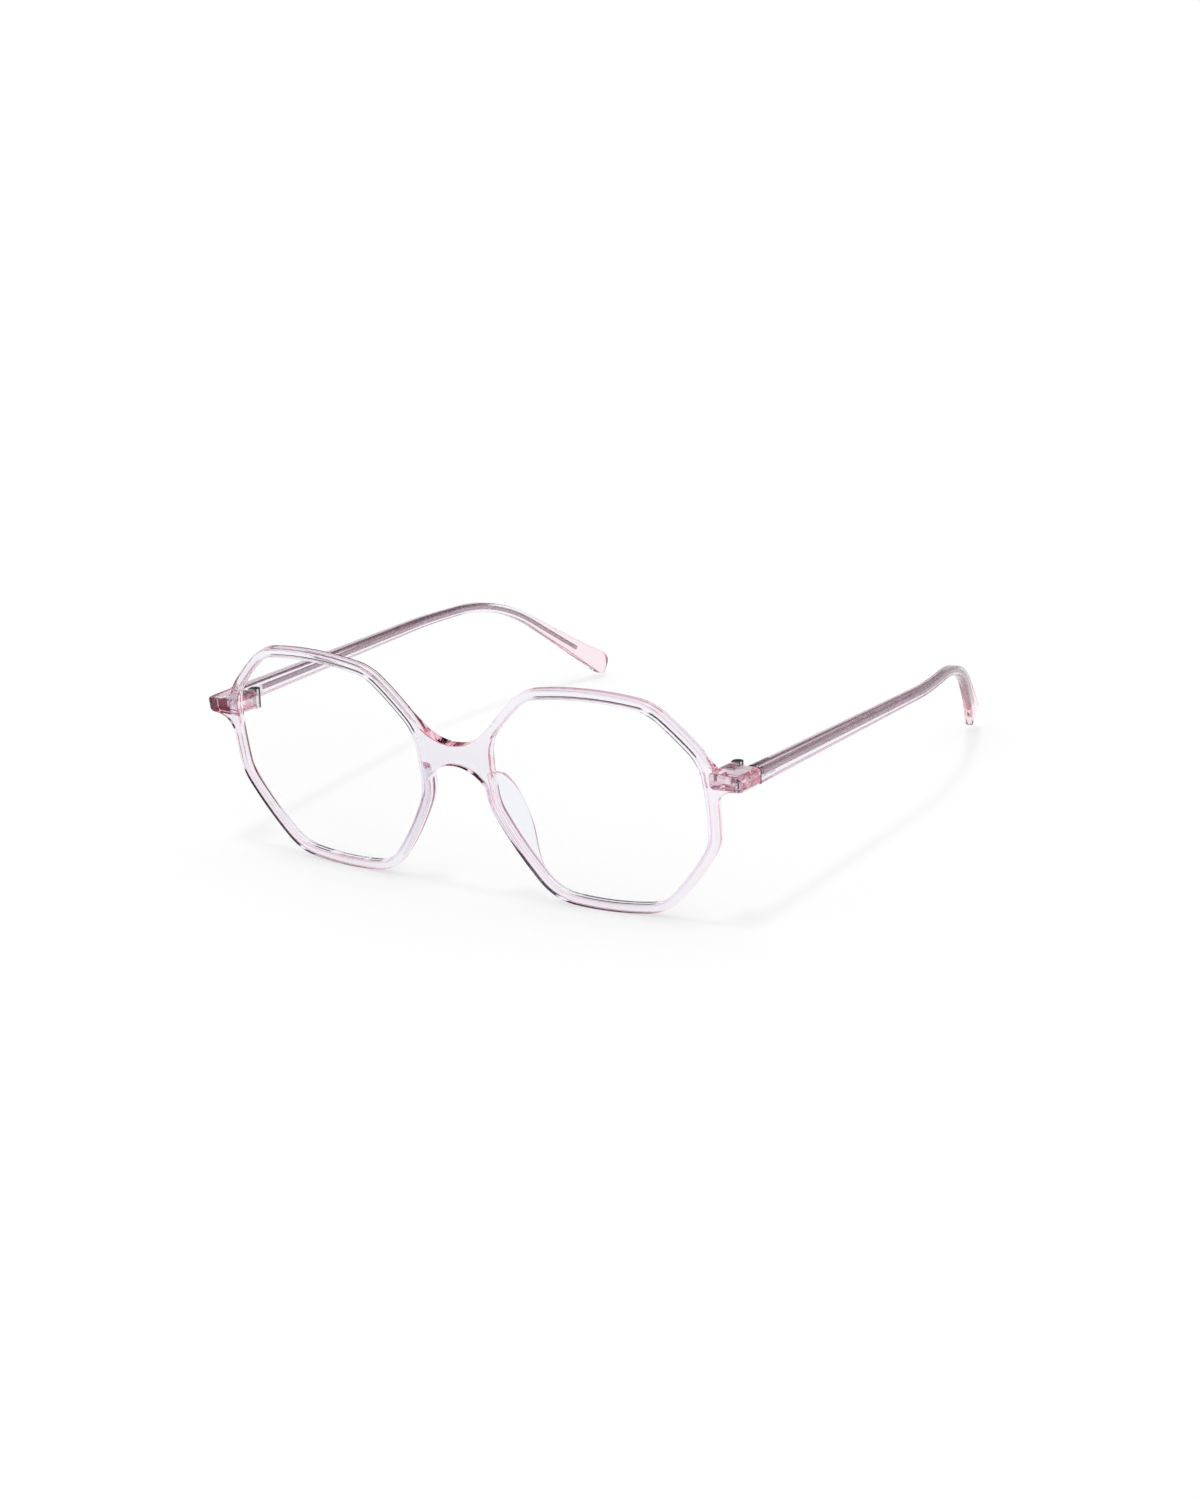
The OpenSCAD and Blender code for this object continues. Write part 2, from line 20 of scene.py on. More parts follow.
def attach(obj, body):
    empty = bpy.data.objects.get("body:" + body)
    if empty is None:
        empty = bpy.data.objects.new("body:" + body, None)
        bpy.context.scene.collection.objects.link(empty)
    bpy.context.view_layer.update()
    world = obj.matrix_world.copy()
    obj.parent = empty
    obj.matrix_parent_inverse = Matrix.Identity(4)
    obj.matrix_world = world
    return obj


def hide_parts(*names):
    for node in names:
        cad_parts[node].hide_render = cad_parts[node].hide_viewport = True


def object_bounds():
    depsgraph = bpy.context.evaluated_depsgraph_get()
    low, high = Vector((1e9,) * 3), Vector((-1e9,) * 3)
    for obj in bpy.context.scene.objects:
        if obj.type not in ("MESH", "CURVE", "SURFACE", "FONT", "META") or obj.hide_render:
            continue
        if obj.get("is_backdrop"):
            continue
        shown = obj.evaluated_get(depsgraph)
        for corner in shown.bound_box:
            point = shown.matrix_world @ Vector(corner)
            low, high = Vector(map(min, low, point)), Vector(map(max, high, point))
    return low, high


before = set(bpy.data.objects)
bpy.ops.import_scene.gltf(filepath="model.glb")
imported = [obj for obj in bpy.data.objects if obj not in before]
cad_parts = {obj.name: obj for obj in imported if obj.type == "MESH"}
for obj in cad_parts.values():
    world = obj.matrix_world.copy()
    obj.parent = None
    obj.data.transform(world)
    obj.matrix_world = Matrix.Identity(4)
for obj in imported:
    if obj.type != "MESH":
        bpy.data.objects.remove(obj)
cad_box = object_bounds()

LOG = logging.getLogger("eyeglasses")
Flat = tuple[float, float]
Triple = tuple[float, float, float]
Placing = Callable[[Vector], Vector]
Mesh, Vert = bmesh.types.BMesh, bmesh.types.BMVert
Edge, Face = bmesh.types.BMEdge, bmesh.types.BMFace
Piece, Finish = bpy.types.Object, bpy.types.Material
Node, Socket = bpy.types.Node, bpy.types.NodeSocket

MM = 0.001
NEAR = 1e-4  # points closer than this are one
CORNER_STEPS, SIDE_STEPS, LARGEST_CORNER = 9, 8, 20.0
ROUND_STEPS = 4  # strips in a quarter round
UPRIGHT = 0.05  # a wall's normal has less than this along Y
LIP = 0.01  # slope of a groove's or tongue's sides
BITE = 0.02  # pieces of one solid go this far into each other
FLAT_WEIGHT = 80  # how far flat faces rule the shading of the round edges beside them
MIX_COLOURS, MIX_RESULT = (6, 7), 2  # places of the colour sockets on a Mix node


class Side(Enum):
    """The two sides of the glasses, as the sign of X."""

    LEFT = -1
    RIGHT = 1

    @property
    def label(self) -> str:
        """Name of the side, as the CAD nodes use it."""
        return self.name.lower()


class Outline(Enum):
    """The two kinds of outline, as the mark of their vertices."""

    OUTER = 1
    OPENING = 2


class Join(Enum):
    """The two ways to take in a second solid, as a boolean names them."""

    ADD = "UNION"
    CUT = "DIFFERENCE"


# ---------------------------------------------------------------- placing


def soft_step(value: float, start: float, end: float) -> float:
    """Goes smoothly from 0 at the start to 1 at the end."""
    share = min(1.0, max(0.0, (value - start) / (end - start)))
    return share * share * (3 - 2 * share)


@dataclass(frozen=True)
class FrontPlace:
    """Where the flat front goes: wrapped round the face, leaning, and standing on the table."""

    front_t: float = 2.6
    wrap_r: float = 460.0
    lean: float = 6.6
    centre_y: float = 65.7049
    drop: float = 0.251514
    end_from: float = 60.4
    end_to: float = 64.0
    end_shear: float = 0.18404

    def table(self) -> Matrix:
        """Move from the source's own frame to the table, where the glasses are centred."""
        return Matrix.Translation((0, -self.centre_y, -self.drop))

    def wrap(self, flat: Vector) -> Vector:
        """Wraps a flat point.

        Args:
            flat: across, depth behind the front face, and height.

        Returns:
            The point on the wrapped and leaning front.
        """
        across, depth, height = flat
        behind = self.wrap_r - math.sqrt((self.wrap_r - depth) ** 2 - across**2)
        height -= depth * self.end_shear * soft_step(abs(across), self.end_from, self.end_to)
        leaning = self.table() @ Matrix.Rotation(math.radians(self.lean), 4, "X")
        return leaning @ Vector((across, behind, height))


@dataclass(frozen=True)
class TemplePlace:
    """Where a temple goes: its origin is the outer edge of the joint, +Y runs along it."""

    front: FrontPlace = FrontPlace()
    end_x: float = 69.0
    joint_y: float = 9.07524
    joint_z: float = 33.1599
    slope: float = 3.82918

    def put(self, spot: Vector) -> Vector:
        """Moves a point to the table.

        Args:
            spot: the point, in the right-hand temple's frame.

        Returns:
            The point on the table.
        """
        joint = Matrix.Translation((self.end_x, self.joint_y, self.joint_z))
        slant = Matrix.Rotation(math.radians(-self.slope), 4, "X")
        return self.front.table() @ joint @ slant @ spot


# ---------------------------------------------------------------- drawing


@dataclass(frozen=True)
class Arc:
    """An arc of an outline in the plane of the front."""

    centre: Flat
    radius: float
    start: float
    turn: float

    def heading(self, share: float) -> float:
        """Heading at a share of the arc."""
        return self.start + self.turn * share

    def point(self, heading: float, grow: float = 0.0) -> Flat:
        """Point of the arc at a heading, with its radius grown."""
        angle, reach = math.radians(heading), self.radius + grow
        return self.centre[0] + reach * math.cos(angle), self.centre[1] + reach * math.sin(angle)


def heading_to(centre: Flat, point: Flat) -> float:
    """Heading from a centre to a point."""
    return math.degrees(math.atan2(point[1] - centre[1], point[0] - centre[0]))


def meet(first: Flat, first_r: float, second: Flat, second_r: float) -> list[Flat]:
    """Points at which two circles meet.

    Args:
        first: centre of the first circle.
        first_r: its radius.
        second: centre of the second circle.
        second_r: its radius.

    Returns:
        The two points, in the plane of the front.
    """
    dx, dz = second[0] - first[0], second[1] - first[1]
    apart = math.hypot(dx, dz)
    along = (first_r**2 - second_r**2 + apart**2) / (2 * apart)
    off = math.sqrt(max(0.0, first_r**2 - along**2))
    mid = (first[0] + dx * along / apart, first[1] + dz * along / apart)
    return [
        (mid[0] - sign * off * dz / apart, mid[1] + sign * off * dx / apart)
        for sign in (-1, 1)
    ]


@dataclass(frozen=True)
class Octagon:
    """The right-hand lens opening: a bowed octagon with round corners."""

    lens_w: float = 51.2
    lens_h: float = 47.8
    bridge_gap: float = 18.4
    rim_w: float = 1.9
    groove_d: float = 0.6
    corner_r: float = 10.0
    side_r: float = 75.0
    upper_out: Flat = (12.0, 12.4)
    upper_in: Flat = (12.2, 12.6)
    lower_in: Flat = (12.6, 18.8)
    lower_out: Flat = (13.4, 16.2)

    def corners(self) -> list[Vector]:
        """Corners before rounding.

        Returns:
            The eight corners, counter-clockwise from the top outer one.
        """
        x0, z0 = self.bridge_gap / 2, self.rim_w
        x1, z1 = x0 + self.lens_w, z0 + self.lens_h
        places = [
            (x1 - self.upper_out[0], z1),
            (x0 + self.upper_in[0], z1),
            (x0, z1 - self.upper_in[1]),
            (x0, z0 + self.lower_in[1]),
            (x0 + self.lower_in[0], z0),
            (x1 - self.lower_out[0], z0),
            (x1, z0 + self.lower_out[1]),
            (x1, z1 - self.upper_out[1]),
        ]
        return [Vector(p) for p in places]

    def side_centre(self, index: int) -> Vector:
        """Centre of the large arc that bows a side.

        Args:
            index: number of the corner at which the side starts.

        Returns:
            The centre, in the plane of the front.
        """
        corners = self.corners()
        a, b = corners[index % 8], corners[(index + 1) % 8]
        along = (b - a).normalized()
        return (a + b) / 2 + Vector((-along.y, along.x)) * self.side_r

    def corner_centre(self, index: int) -> Vector:
        """Centre of the small arc that rounds a corner.

        Args:
            index: number of the corner.

        Returns:
            The centre, in the plane of the front.
        """
        before, after = self.side_centre(index - 1), self.side_centre(index)
        reach = self.side_r - self.corner_r
        corner = self.corners()[index % 8]
        found = meet(tuple(before), reach, tuple(after), reach)
        return min((Vector(p) for p in found), key=lambda p: (p - corner).length)

    def arcs(self) -> list[Arc]:
        """Corner and side arcs in turn.

        Returns:
            Sixteen arcs, counter-clockwise from the top outer corner. Corners have even
            numbers and the side after a corner has the next one.
        """
        made: list[Arc] = []
        for index in range(8):
            centre = self.corner_centre(index)
            before, after = self.side_centre(index - 1), self.side_centre(index)
            start, turned = heading_to(before, centre), heading_to(after, centre)
            last = heading_to(after, self.corner_centre(index + 1))
            made.append(Arc(tuple(centre), self.corner_r, start, (turned - start) % 360))
            made.append(Arc(tuple(after), self.side_r, turned, (last - turned) % 360))
        return made


class Pen:
    """Draws an outline in the plane of the front with spins and extrusions."""

    def __init__(self, mesh: Mesh, start: Flat, kind: Outline) -> None:
        """Starts an outline.

        Args:
            mesh: mesh to draw in.
            start: first point, as across and height.
            kind: kind of the outline.
        """
        layers = mesh.verts.layers.int
        self.mesh, self.kind = mesh, kind.value
        self.mark = layers.get("outline") or layers.new("outline")
        self.vert = mesh.verts.new((start[0], 0, start[1]))
        self.vert[self.mark] = self.kind

    def arc(self, centre: Flat, turn: float, steps: int) -> None:
        """Spins the pen round a centre.

        Args:
            centre: centre of the arc.
            turn: angle, counter-clockwise.
            steps: number of edges.
        """
        middle, angle = (centre[0], 0, centre[1]), math.radians(turn)
        spun = bmesh.ops.spin(
            self.mesh, geom=[self.vert], cent=middle, axis=(0, -1, 0), angle=angle, steps=steps,
            use_merge=False,
        )
        self.vert = pick(spun["geom_last"], Vert)[0]
        for vert in self.mesh.verts:
            if not vert[self.mark]:
                vert[self.mark] = self.kind

    def follow(self, arc: Arc, way: int = 1) -> None:
        """Draws a corner or a side of the octagon, clockwise with a way of -1."""
        steps = CORNER_STEPS if arc.radius < LARGEST_CORNER else SIDE_STEPS
        self.arc(arc.centre, way * arc.turn, steps)

    def line(self, point: Flat) -> None:
        """Draws a straight edge.

        Args:
            point: its end, as across and height.
        """
        self.vert = bmesh.ops.extrude_vert_indiv(self.mesh, verts=[self.vert])["verts"][0]
        self.vert.co = (point[0], 0, point[1])
        self.vert[self.mark] = self.kind


def draw_opening(mesh: Mesh, shape: Octagon, grow: float) -> None:
    """Draws the closed outline of a lens opening.

    Args:
        mesh: mesh to draw in.
        shape: the octagon.
        grow: distance by which the outline grows outwards.
    """
    arcs = shape.arcs()
    pen = Pen(mesh, arcs[0].point(arcs[0].start, grow), Outline.OPENING)
    for arc in arcs:
        pen.follow(arc)


def rounded_ring(width: float, height: float, radius: float, steps: int = 4) -> list[Flat]:
    """Points round a flat bar with round corners.

    Args:
        width: full width of the bar.
        height: full height of the bar.
        radius: radius of its corners.
        steps: edges along one corner.

    Returns:
        The points, counter-clockwise, as across and up.
    """
    points: list[Flat] = []
    for quarter, (sx, sz) in enumerate(((1, 1), (-1, 1), (-1, -1), (1, -1))):
        middle = (sx * (width / 2 - radius), sz * (height / 2 - radius))
        corner = Arc(middle, radius, 90 * quarter, 90)
        points += [corner.point(corner.heading(step / steps)) for step in range(steps + 1)]
    return points


# ---------------------------------------------------------------- meshes


def pick(geometry: Iterable[object], kind: type) -> list:
    """Picks the items of one kind."""
    return [item for item in geometry if isinstance(item, kind)]


def verts_of(faces: Iterable[Face]) -> list[Vert]:
    """Vertices of some faces, each once."""
    return list({vert for face in faces for vert in face.verts})


def shift(mesh: Mesh, faces: Iterable[Face], depth: float) -> None:
    """Moves faces back along Y by a depth."""
    bmesh.ops.translate(mesh, vec=(0, depth, 0), verts=verts_of(faces))


def mark_sharp(mesh: Mesh, sharp: float) -> None:
    """Shades a mesh smooth.

    Args:
        mesh: the mesh.
        sharp: edges that turn by more than this stay sharp.
    """
    for face in mesh.faces:
        face.smooth = True
    for edge in mesh.edges:
        edge.smooth = not edge.is_manifold or edge.calc_face_angle() < math.radians(sharp)


def round_edge(mesh: Mesh, faces: list[Face], radius: float, way: int) -> None:
    """Rounds the rim of a flat face region with a run of insets, and marks the round.

    Args:
        mesh: mesh that holds the faces.
        faces: the faces, whose edge still stands one radius short of its place.
        radius: radius of the round.
        way: -1 towards the front, +1 towards the back.
    """
    layers = mesh.verts.layers.float
    # the edge mark is where the clear finish paints its refraction lines
    mark = layers.get("edge") or layers.new("edge")
    for step in range(ROUND_STEPS):
        before, after = (math.radians(90 * s / ROUND_STEPS) for s in (step, step + 1))
        for vert in verts_of(faces):
            vert[mark] = 1.0 if step else 0.0
        strip = radius * (math.cos(before) - math.cos(after))
        bmesh.ops.inset_region(
            mesh, faces=faces, thickness=strip, use_boundary=True, use_even_offset=True
        )
        for vert in verts_of(faces):
            vert[mark] = 0.0
        shift(mesh, faces, way * radius * (math.sin(after) - math.sin(before)))


def plate(mesh: Mesh, depth: float, thickness: float, radius: float) -> None:
    """Fills the drawn outlines and gives them a thickness with rounded edges.

    Args:
        mesh: mesh that holds the closed outlines.
        depth: depth of the front face.
        thickness: distance from the front face to the back face.
        radius: radius of the edges, or 0 for sharp ones.
    """
    bmesh.ops.remove_doubles(mesh, verts=mesh.verts[:], dist=NEAR)
    filled = bmesh.ops.triangle_fill(
        mesh, edges=mesh.edges[:], use_beauty=True, use_dissolve=False, normal=(0, -1, 0)
    )
    front = pick(filled["geom"], Face)
    back = pick(bmesh.ops.extrude_face_region(mesh, geom=front)["geom"], Face)
    shift(mesh, front, depth + radius)
    shift(mesh, back, depth + thickness - radius)
    bmesh.ops.recalc_face_normals(mesh, faces=mesh.faces[:])
    if radius > 0:
        round_edge(mesh, front, radius, -1)
        round_edge(mesh, back, radius, 1)


def push_band(mesh: Mesh, wall: float, width: float, depth: float) -> None:
    """Narrows the walls of the lens openings to a band and pushes it out or in.

    Args:
        mesh: the plate, still flat.
        wall: height of the walls.
        width: height of the band in their middle.
        depth: how far it goes out, or in if this is negative.
    """
    mark, opening = mesh.verts.layers.int["outline"], Outline.OPENING.value
    mesh.normal_update()
    faces = [
        face
        for face in mesh.faces
        if abs(face.normal.y) < UPRIGHT and all(v[mark] == opening for v in face.verts)
    ]
    room = (wall - width) / 2
    bmesh.ops.inset_region(mesh, faces=faces, thickness=room, use_even_offset=True)
    bmesh.ops.inset_region(mesh, faces=faces, thickness=LIP, depth=depth, use_even_offset=True)


def slice_across(mesh: Mesh, step: float, reach: float, axis: int = 0) -> None:
    """Cuts every face at even distances, so that it can follow the wrap.

    Args:
        mesh: mesh to cut.
        step: distance between two cuts.
        reach: farthest cut from the middle.
        axis: 0 for cuts across X, 2 for cuts across Z.
    """
    count = int(reach / step)
    for index in range(-count, count + 1):
        place, normal = Vector(), Vector()
        place[axis], normal[axis] = index * step, 1.0
        whole = mesh.verts[:] + mesh.edges[:] + mesh.faces[:]
        bmesh.ops.bisect_plane(mesh, geom=whole, plane_co=place, plane_no=normal, dist=NEAR)


def loft(mesh: Mesh, rings: Sequence[Sequence[Vector]]) -> None:
    """Extrudes a ring of edges through a row of places and closes both ends.

    Args:
        mesh: mesh to build in.
        rings: places of the ring's vertices, ring by ring.
    """
    made = bmesh.ops.create_circle(mesh, segments=len(rings[0]), radius=1.0, cap_ends=False)
    verts = made["verts"]
    edges = list({e for v in verts for e in v.link_edges})
    first = edges
    for index, ring in enumerate(rings):
        if index:
            grown = bmesh.ops.extrude_edge_only(mesh, edges=edges)["geom"]
            edges, fresh = pick(grown, Edge), set(pick(grown, Vert))
            verts = [
                next(e.other_vert(v) for e in v.link_edges if e.other_vert(v) in fresh)
                for v in verts
            ]
        for vert, place in zip(verts, ring):
            vert.co = place
    bmesh.ops.edgeloop_fill(mesh, edges=first)
    bmesh.ops.edgeloop_fill(mesh, edges=edges)
    bmesh.ops.recalc_face_normals(mesh, faces=mesh.faces[:])


def to_object(
    mesh: Mesh,
    name: str,
    side: Side = Side.RIGHT,
    place: Placing | None = None,
    sharp: float = 40.0,
    scale: float = MM,
) -> Piece:
    """Places a finished mesh and makes an object of it, at the origin.

    Args:
        mesh: mesh in millimetres; it is freed.
        name: name of the object.
        side: the left side is the mirror image of the right.
        place: moves each point to its place on the table.
        sharp: edges that turn by more than this stay sharp.
        scale: millimetres to the unit of the object.

    Returns:
        The new object, which nowhere goes below the table.
    """
    for vert in mesh.verts:
        spot = place(vert.co) if place else vert.co.copy()
        vert.co = Vector((spot.x * side.value, spot.y, max(0.0, spot.z))) * scale
    mesh.normal_update()
    bmesh.ops.recalc_face_normals(mesh, faces=mesh.faces[:])
    mark_sharp(mesh, sharp)
    data = bpy.data.meshes.new(name)
    mesh.to_mesh(data)
    mesh.free()
    made = bpy.data.objects.new(name, data)
    bpy.context.scene.collection.objects.link(made)
    return made


def leaf_seat(leaf: tuple[Flat, Flat, Flat], place: TemplePlace) -> Piece:
    """Makes the seat of a hinge leaf, a little tighter than the leaf.

    Args:
        leaf: both ends of the leaf along X, Y and Z, in the temple's frame.
        place: where that frame is.

    Returns:
        The right-hand seat, in millimetres on the table.
    """
    low, high = Vector([a + BITE for a, _ in leaf]), Vector([b - BITE for _, b in leaf])
    mesh = bmesh.new()
    bmesh.ops.create_cube(mesh, size=1.0)
    bmesh.ops.scale(mesh, vec=high - low, verts=mesh.verts[:])
    bmesh.ops.translate(mesh, vec=(low + high) / 2, verts=mesh.verts[:])
    return to_object(mesh, "seat", place=place.put, scale=1.0)


def combine(target: Piece, other: Piece, join: Join) -> None:
    """Applies a boolean of two objects to the first one and removes the other.

    Args:
        target: object that is changed.
        other: object that is taken in.
        join: whether it is added or cut out.
    """
    modifier = target.modifiers.new("boolean", "BOOLEAN")
    modifier.operation, modifier.solver, modifier.object = join.value, "EXACT", other
    bpy.context.view_layer.update()
    evaluated = target.evaluated_get(bpy.context.evaluated_depsgraph_get())
    data = bpy.data.meshes.new_from_object(evaluated)
    target.modifiers.clear()
    old, name = target.data, target.data.name
    target.data = data
    bpy.data.meshes.remove(old)
    data.name = name
    bpy.data.objects.remove(other)


def turn_left(target: Piece) -> None:
    """Makes a left-hand piece of a right-hand one."""
    target.data.transform(Matrix.Scale(-1, 4, (1, 0, 0)))
    target.data.flip_normals()


def tidy(target: Piece, sharp: float = 40.0) -> None:
    """Merges and smooths a combined mesh and brings it to metres.

    Args:
        target: object in millimetres.
        sharp: edges that turn by more than this stay sharp.
    """
    mesh = bmesh.new()
    mesh.from_mesh(target.data)
    bmesh.ops.remove_doubles(mesh, verts=mesh.verts[:], dist=10 * NEAR)
    bmesh.ops.dissolve_degenerate(mesh, edges=mesh.edges[:], dist=NEAR)
    mark_sharp(mesh, sharp)
    bmesh.ops.scale(mesh, vec=(MM, MM, MM), verts=mesh.verts[:])
    mesh.to_mesh(target.data)
    mesh.free()


def even_normals(target: Piece) -> None:
    """Keeps flats flat and lets only the rounded edges shade round."""
    modifier = target.modifiers.new("normals", "WEIGHTED_NORMAL")
    modifier.keep_sharp, modifier.weight = True, FLAT_WEIGHT


def dress(target: Piece, finish: Finish) -> None:
    """Gives an object one material."""
    target.data.materials.clear()
    target.data.materials.append(finish)


def blush(target: Piece, share: Callable[[Vector], float]) -> None:
    """Writes how deep the colour of each vertex is.

    Args:
        target: finished piece, in metres.
        share: gives the share, from 0 to 1, at a place in millimetres.
    """
    layer = target.data.attributes.new("blush", "FLOAT", "POINT")
    for vert, value in zip(target.data.vertices, layer.data):
        value.value = share(vert.co / MM)


# ---------------------------------------------------------------- finishes


@dataclass(frozen=True)
class NodeBoard:
    """Short ways to add and join shader nodes in one tree."""

    tree: bpy.types.NodeTree

    def fill(self, node: Node, inputs: dict) -> None:
        """Sets inputs of a node, or links them.

        Args:
            node: the node.
            inputs: a number, a colour or an output for the name or place of each input.
        """
        for name, value in inputs.items():
            socket = node.inputs[name]
            if isinstance(value, Socket):
                self.tree.links.new(value, socket)
            else:
                socket.default_value = (*value, 1.0) if socket.type == "RGBA" else value

    def add(self, kind: str, inputs: dict | None = None, **values: object) -> Node:
        """Adds a node.

        Args:
            kind: the node's type.
            inputs: what its inputs get.
            values: its properties by name.

        Returns:
            The new node.
        """
        node = self.tree.nodes.new(kind)
        for name, value in values.items():
            setattr(node, name, value)
        self.fill(node, inputs or {})
        return node

    def math(self, operation: str, first: object, second: object) -> Socket:
        """Works something out of two numbers or outputs."""
        return self.add("ShaderNodeMath", {0: first, 1: second}, operation=operation).outputs[0]

    def mix(self, factor: object, first: object, second: object) -> Socket:
        """Mixes two colours, by a number or an output."""
        inputs = {"Factor": factor, MIX_COLOURS[0]: first, MIX_COLOURS[1]: second}
        return self.add("ShaderNodeMix", inputs, data_type="RGBA").outputs[MIX_RESULT]

    def ramp(self, value: Socket, start: float, end: float) -> Socket:
        """Steps softly from 0 where a value is at the start to 1 at the end."""
        inputs = {"Value": value, "From Min": start, "From Max": end}
        return self.add("ShaderNodeMapRange", inputs, interpolation_type="SMOOTHSTEP").outputs[0]

    def place(self, output: str = "Object") -> Socket:
        """Gives the place on the object, or in the room with Generated."""
        return self.add("ShaderNodeTexCoord").outputs[output]

    def along(self) -> bpy.types.NodeOutputs:
        """Gives the place on the object along X, Y and Z."""
        return self.add("ShaderNodeSeparateXYZ", {"Vector": self.place()}).outputs

    def clouds(self, scale: float) -> bpy.types.NodeOutputs:
        """Adds the shared clouds at a scale."""
        return self.add("ShaderNodeGroup", {"Scale": scale}, node_tree=noise_group()).outputs


def noise_group() -> bpy.types.NodeTree:
    """The group of soft clouds that the finishes share, made once.

    Returns:
        A node group with the input Scale and the outputs Cloud and Fine, both masks.
    """
    name, kind = "soft_clouds", "NodeSocketFloat"
    if name in bpy.data.node_groups:
        return bpy.data.node_groups[name]
    group = bpy.data.node_groups.new(name, "ShaderNodeTree")
    group.interface.new_socket("Scale", in_out="INPUT", socket_type=kind)
    group.interface.new_socket("Cloud", in_out="OUTPUT", socket_type=kind)
    group.interface.new_socket("Fine", in_out="OUTPUT", socket_type=kind)
    board = NodeBoard(group)
    entry, leave = board.add("NodeGroupInput"), board.add("NodeGroupOutput")
    for output, times, detail in (("Cloud", 1.0, 2.0), ("Fine", 9.0, 5.0)):
        scale = board.math("MULTIPLY", entry.outputs["Scale"], times)
        inputs = {"Vector": board.place(), "Scale": scale, "Detail": detail}
        noise = board.add("ShaderNodeTexNoise", inputs)
        board.fill(leave, {output: noise.outputs["Fac"]})
    return group


def new_finish(name: str) -> tuple[Finish, NodeBoard, Node, Node]:
    """Starts a material.

    Args:
        name: name of the finish.

    Returns:
        The material, its board, its Principled node and its output node.
    """
    material = bpy.data.materials.new(name)
    material.use_nodes = True
    nodes = material.node_tree.nodes
    board = NodeBoard(material.node_tree)
    return material, board, nodes["Principled BSDF"], nodes["Material Output"]


@dataclass(frozen=True)
class ClearPlastic:
    """A clear, tinted and polished plastic that light passes through."""

    name: str
    tint: Triple
    warm_tint: Triple
    # painted refraction: the pink lines that light bent through a rounded edge draws there
    painted_edge_refraction: Triple
    # painted on the front, where the blush is the deep red of light along long ways through the
    # end pieces; on the temples the blush is deeper towards the tip
    blush_and_painted_depth_tint: Triple
    depth_colour: Triple
    depth_density: float
    roughness: float = 0.0
    roughness_spread: float = 0.03
    ior: float = 1.49
    cloud_scale: float = 30.0

    def build(self) -> Finish:
        """Makes the material.

        Returns:
            A Principled material with full transmission and an absorbing inside.
        """
        material, board, shader, out = new_finish(self.name)
        clouds = board.clouds(self.cloud_scale)
        body = board.mix(clouds["Cloud"], self.tint, self.warm_tint)
        # painted refraction: the edge mask lays the pink lines of light bent through the rounded
        # edges into the colour
        for name, tint in (("blush", self.blush_and_painted_depth_tint), ("edge", self.painted_edge_refraction)):
            mask = board.add("ShaderNodeAttribute", attribute_name=name).outputs["Fac"]
            body = board.mix(mask, body, tint)
        spread = board.math("MULTIPLY", clouds["Fine"], self.roughness_spread)
        rough = board.math("ADD", spread, self.roughness)
        board.fill(shader, {"Base Color": body, "Roughness": rough, "IOR": self.ior})
        board.fill(shader, {"Transmission Weight": 1.0})
        depth = {"Color": self.depth_colour, "Density": self.depth_density}
        inside = board.add("ShaderNodeVolumeAbsorption", depth)
        board.fill(out, {"Volume": inside.outputs["Volume"]})
        return material


@dataclass(frozen=True)
class Metal:
    """A plated or plain metal with a fine grain along one axis and a painted dark reflection where
    it turns away.
    """

    name: str
    bright: Triple
    dull: Triple
    roughness: float
    grain: Triple
    grain_depth: float = 0.15
    grain_height: float = 0.03 * MM
    grain_detail: float = 3.0
    spread: float = 0.12
    cloud_scale: float = 900.0
    clouded: Flat = (0.38, 0.62)
    rim: Triple = (0.03, 0.03, 0.035)
    rim_start: float = 0.35
    rim_width: float = 0.3
    rim_from: float = -1.0  # the painted dark reflection shows only between these two places along Y
    rim_to: float = 1.0
    rim_soft: float = 0.2 * MM

    def build(self) -> Finish:
        """Makes the material.

        Returns:
            A metallic Principled material with a drawn grain and a painted dark reflection where
            it turns away.
        """
        material, board, shader, _ = new_finish(self.name)
        stretch = {"Vector": board.place(), "Scale": self.grain}
        stretched = board.add("ShaderNodeMapping", stretch).outputs["Vector"]
        noise = {"Vector": stretched, "Scale": 1.0, "Detail": self.grain_detail}
        drawn = board.add("ShaderNodeTexNoise", noise).outputs["Fac"]
        speck = board.ramp(board.clouds(self.cloud_scale)["Cloud"], *self.clouded)
        colour = board.mix(speck, self.bright, self.dull)
        # painted reflection: the colour goes dark where the surface turns away, standing in for
        # the dark room that polished metal shows at its edges
        facing = board.add("ShaderNodeLayerWeight").outputs["Facing"]
        shaded = board.ramp(facing, self.rim_start, self.rim_start + self.rim_width)
        along = board.along()["Y"]
        for sign, limit in ((1, self.rim_from), (-1, self.rim_to)):
            past = board.math("SUBTRACT", board.math("MULTIPLY", along, sign), sign * limit)
            past = board.math("MULTIPLY", past, 1 / self.rim_soft)
            past = board.math("MINIMUM", board.math("MAXIMUM", past, 0.0), 1.0)
            shaded = board.math("MULTIPLY", shaded, past)
        rough = board.math("ADD", board.math("MULTIPLY", drawn, self.spread), self.roughness)
        relief = {"Height": drawn, "Strength": self.grain_depth, "Distance": self.grain_height}
        normal = board.add("ShaderNodeBump", relief).outputs["Normal"]
        board.fill(shader, {"Base Color": board.mix(shaded, colour, self.rim), "Metallic": 1.0})
        board.fill(shader, {"Roughness": rough, "Normal": normal})
        return material


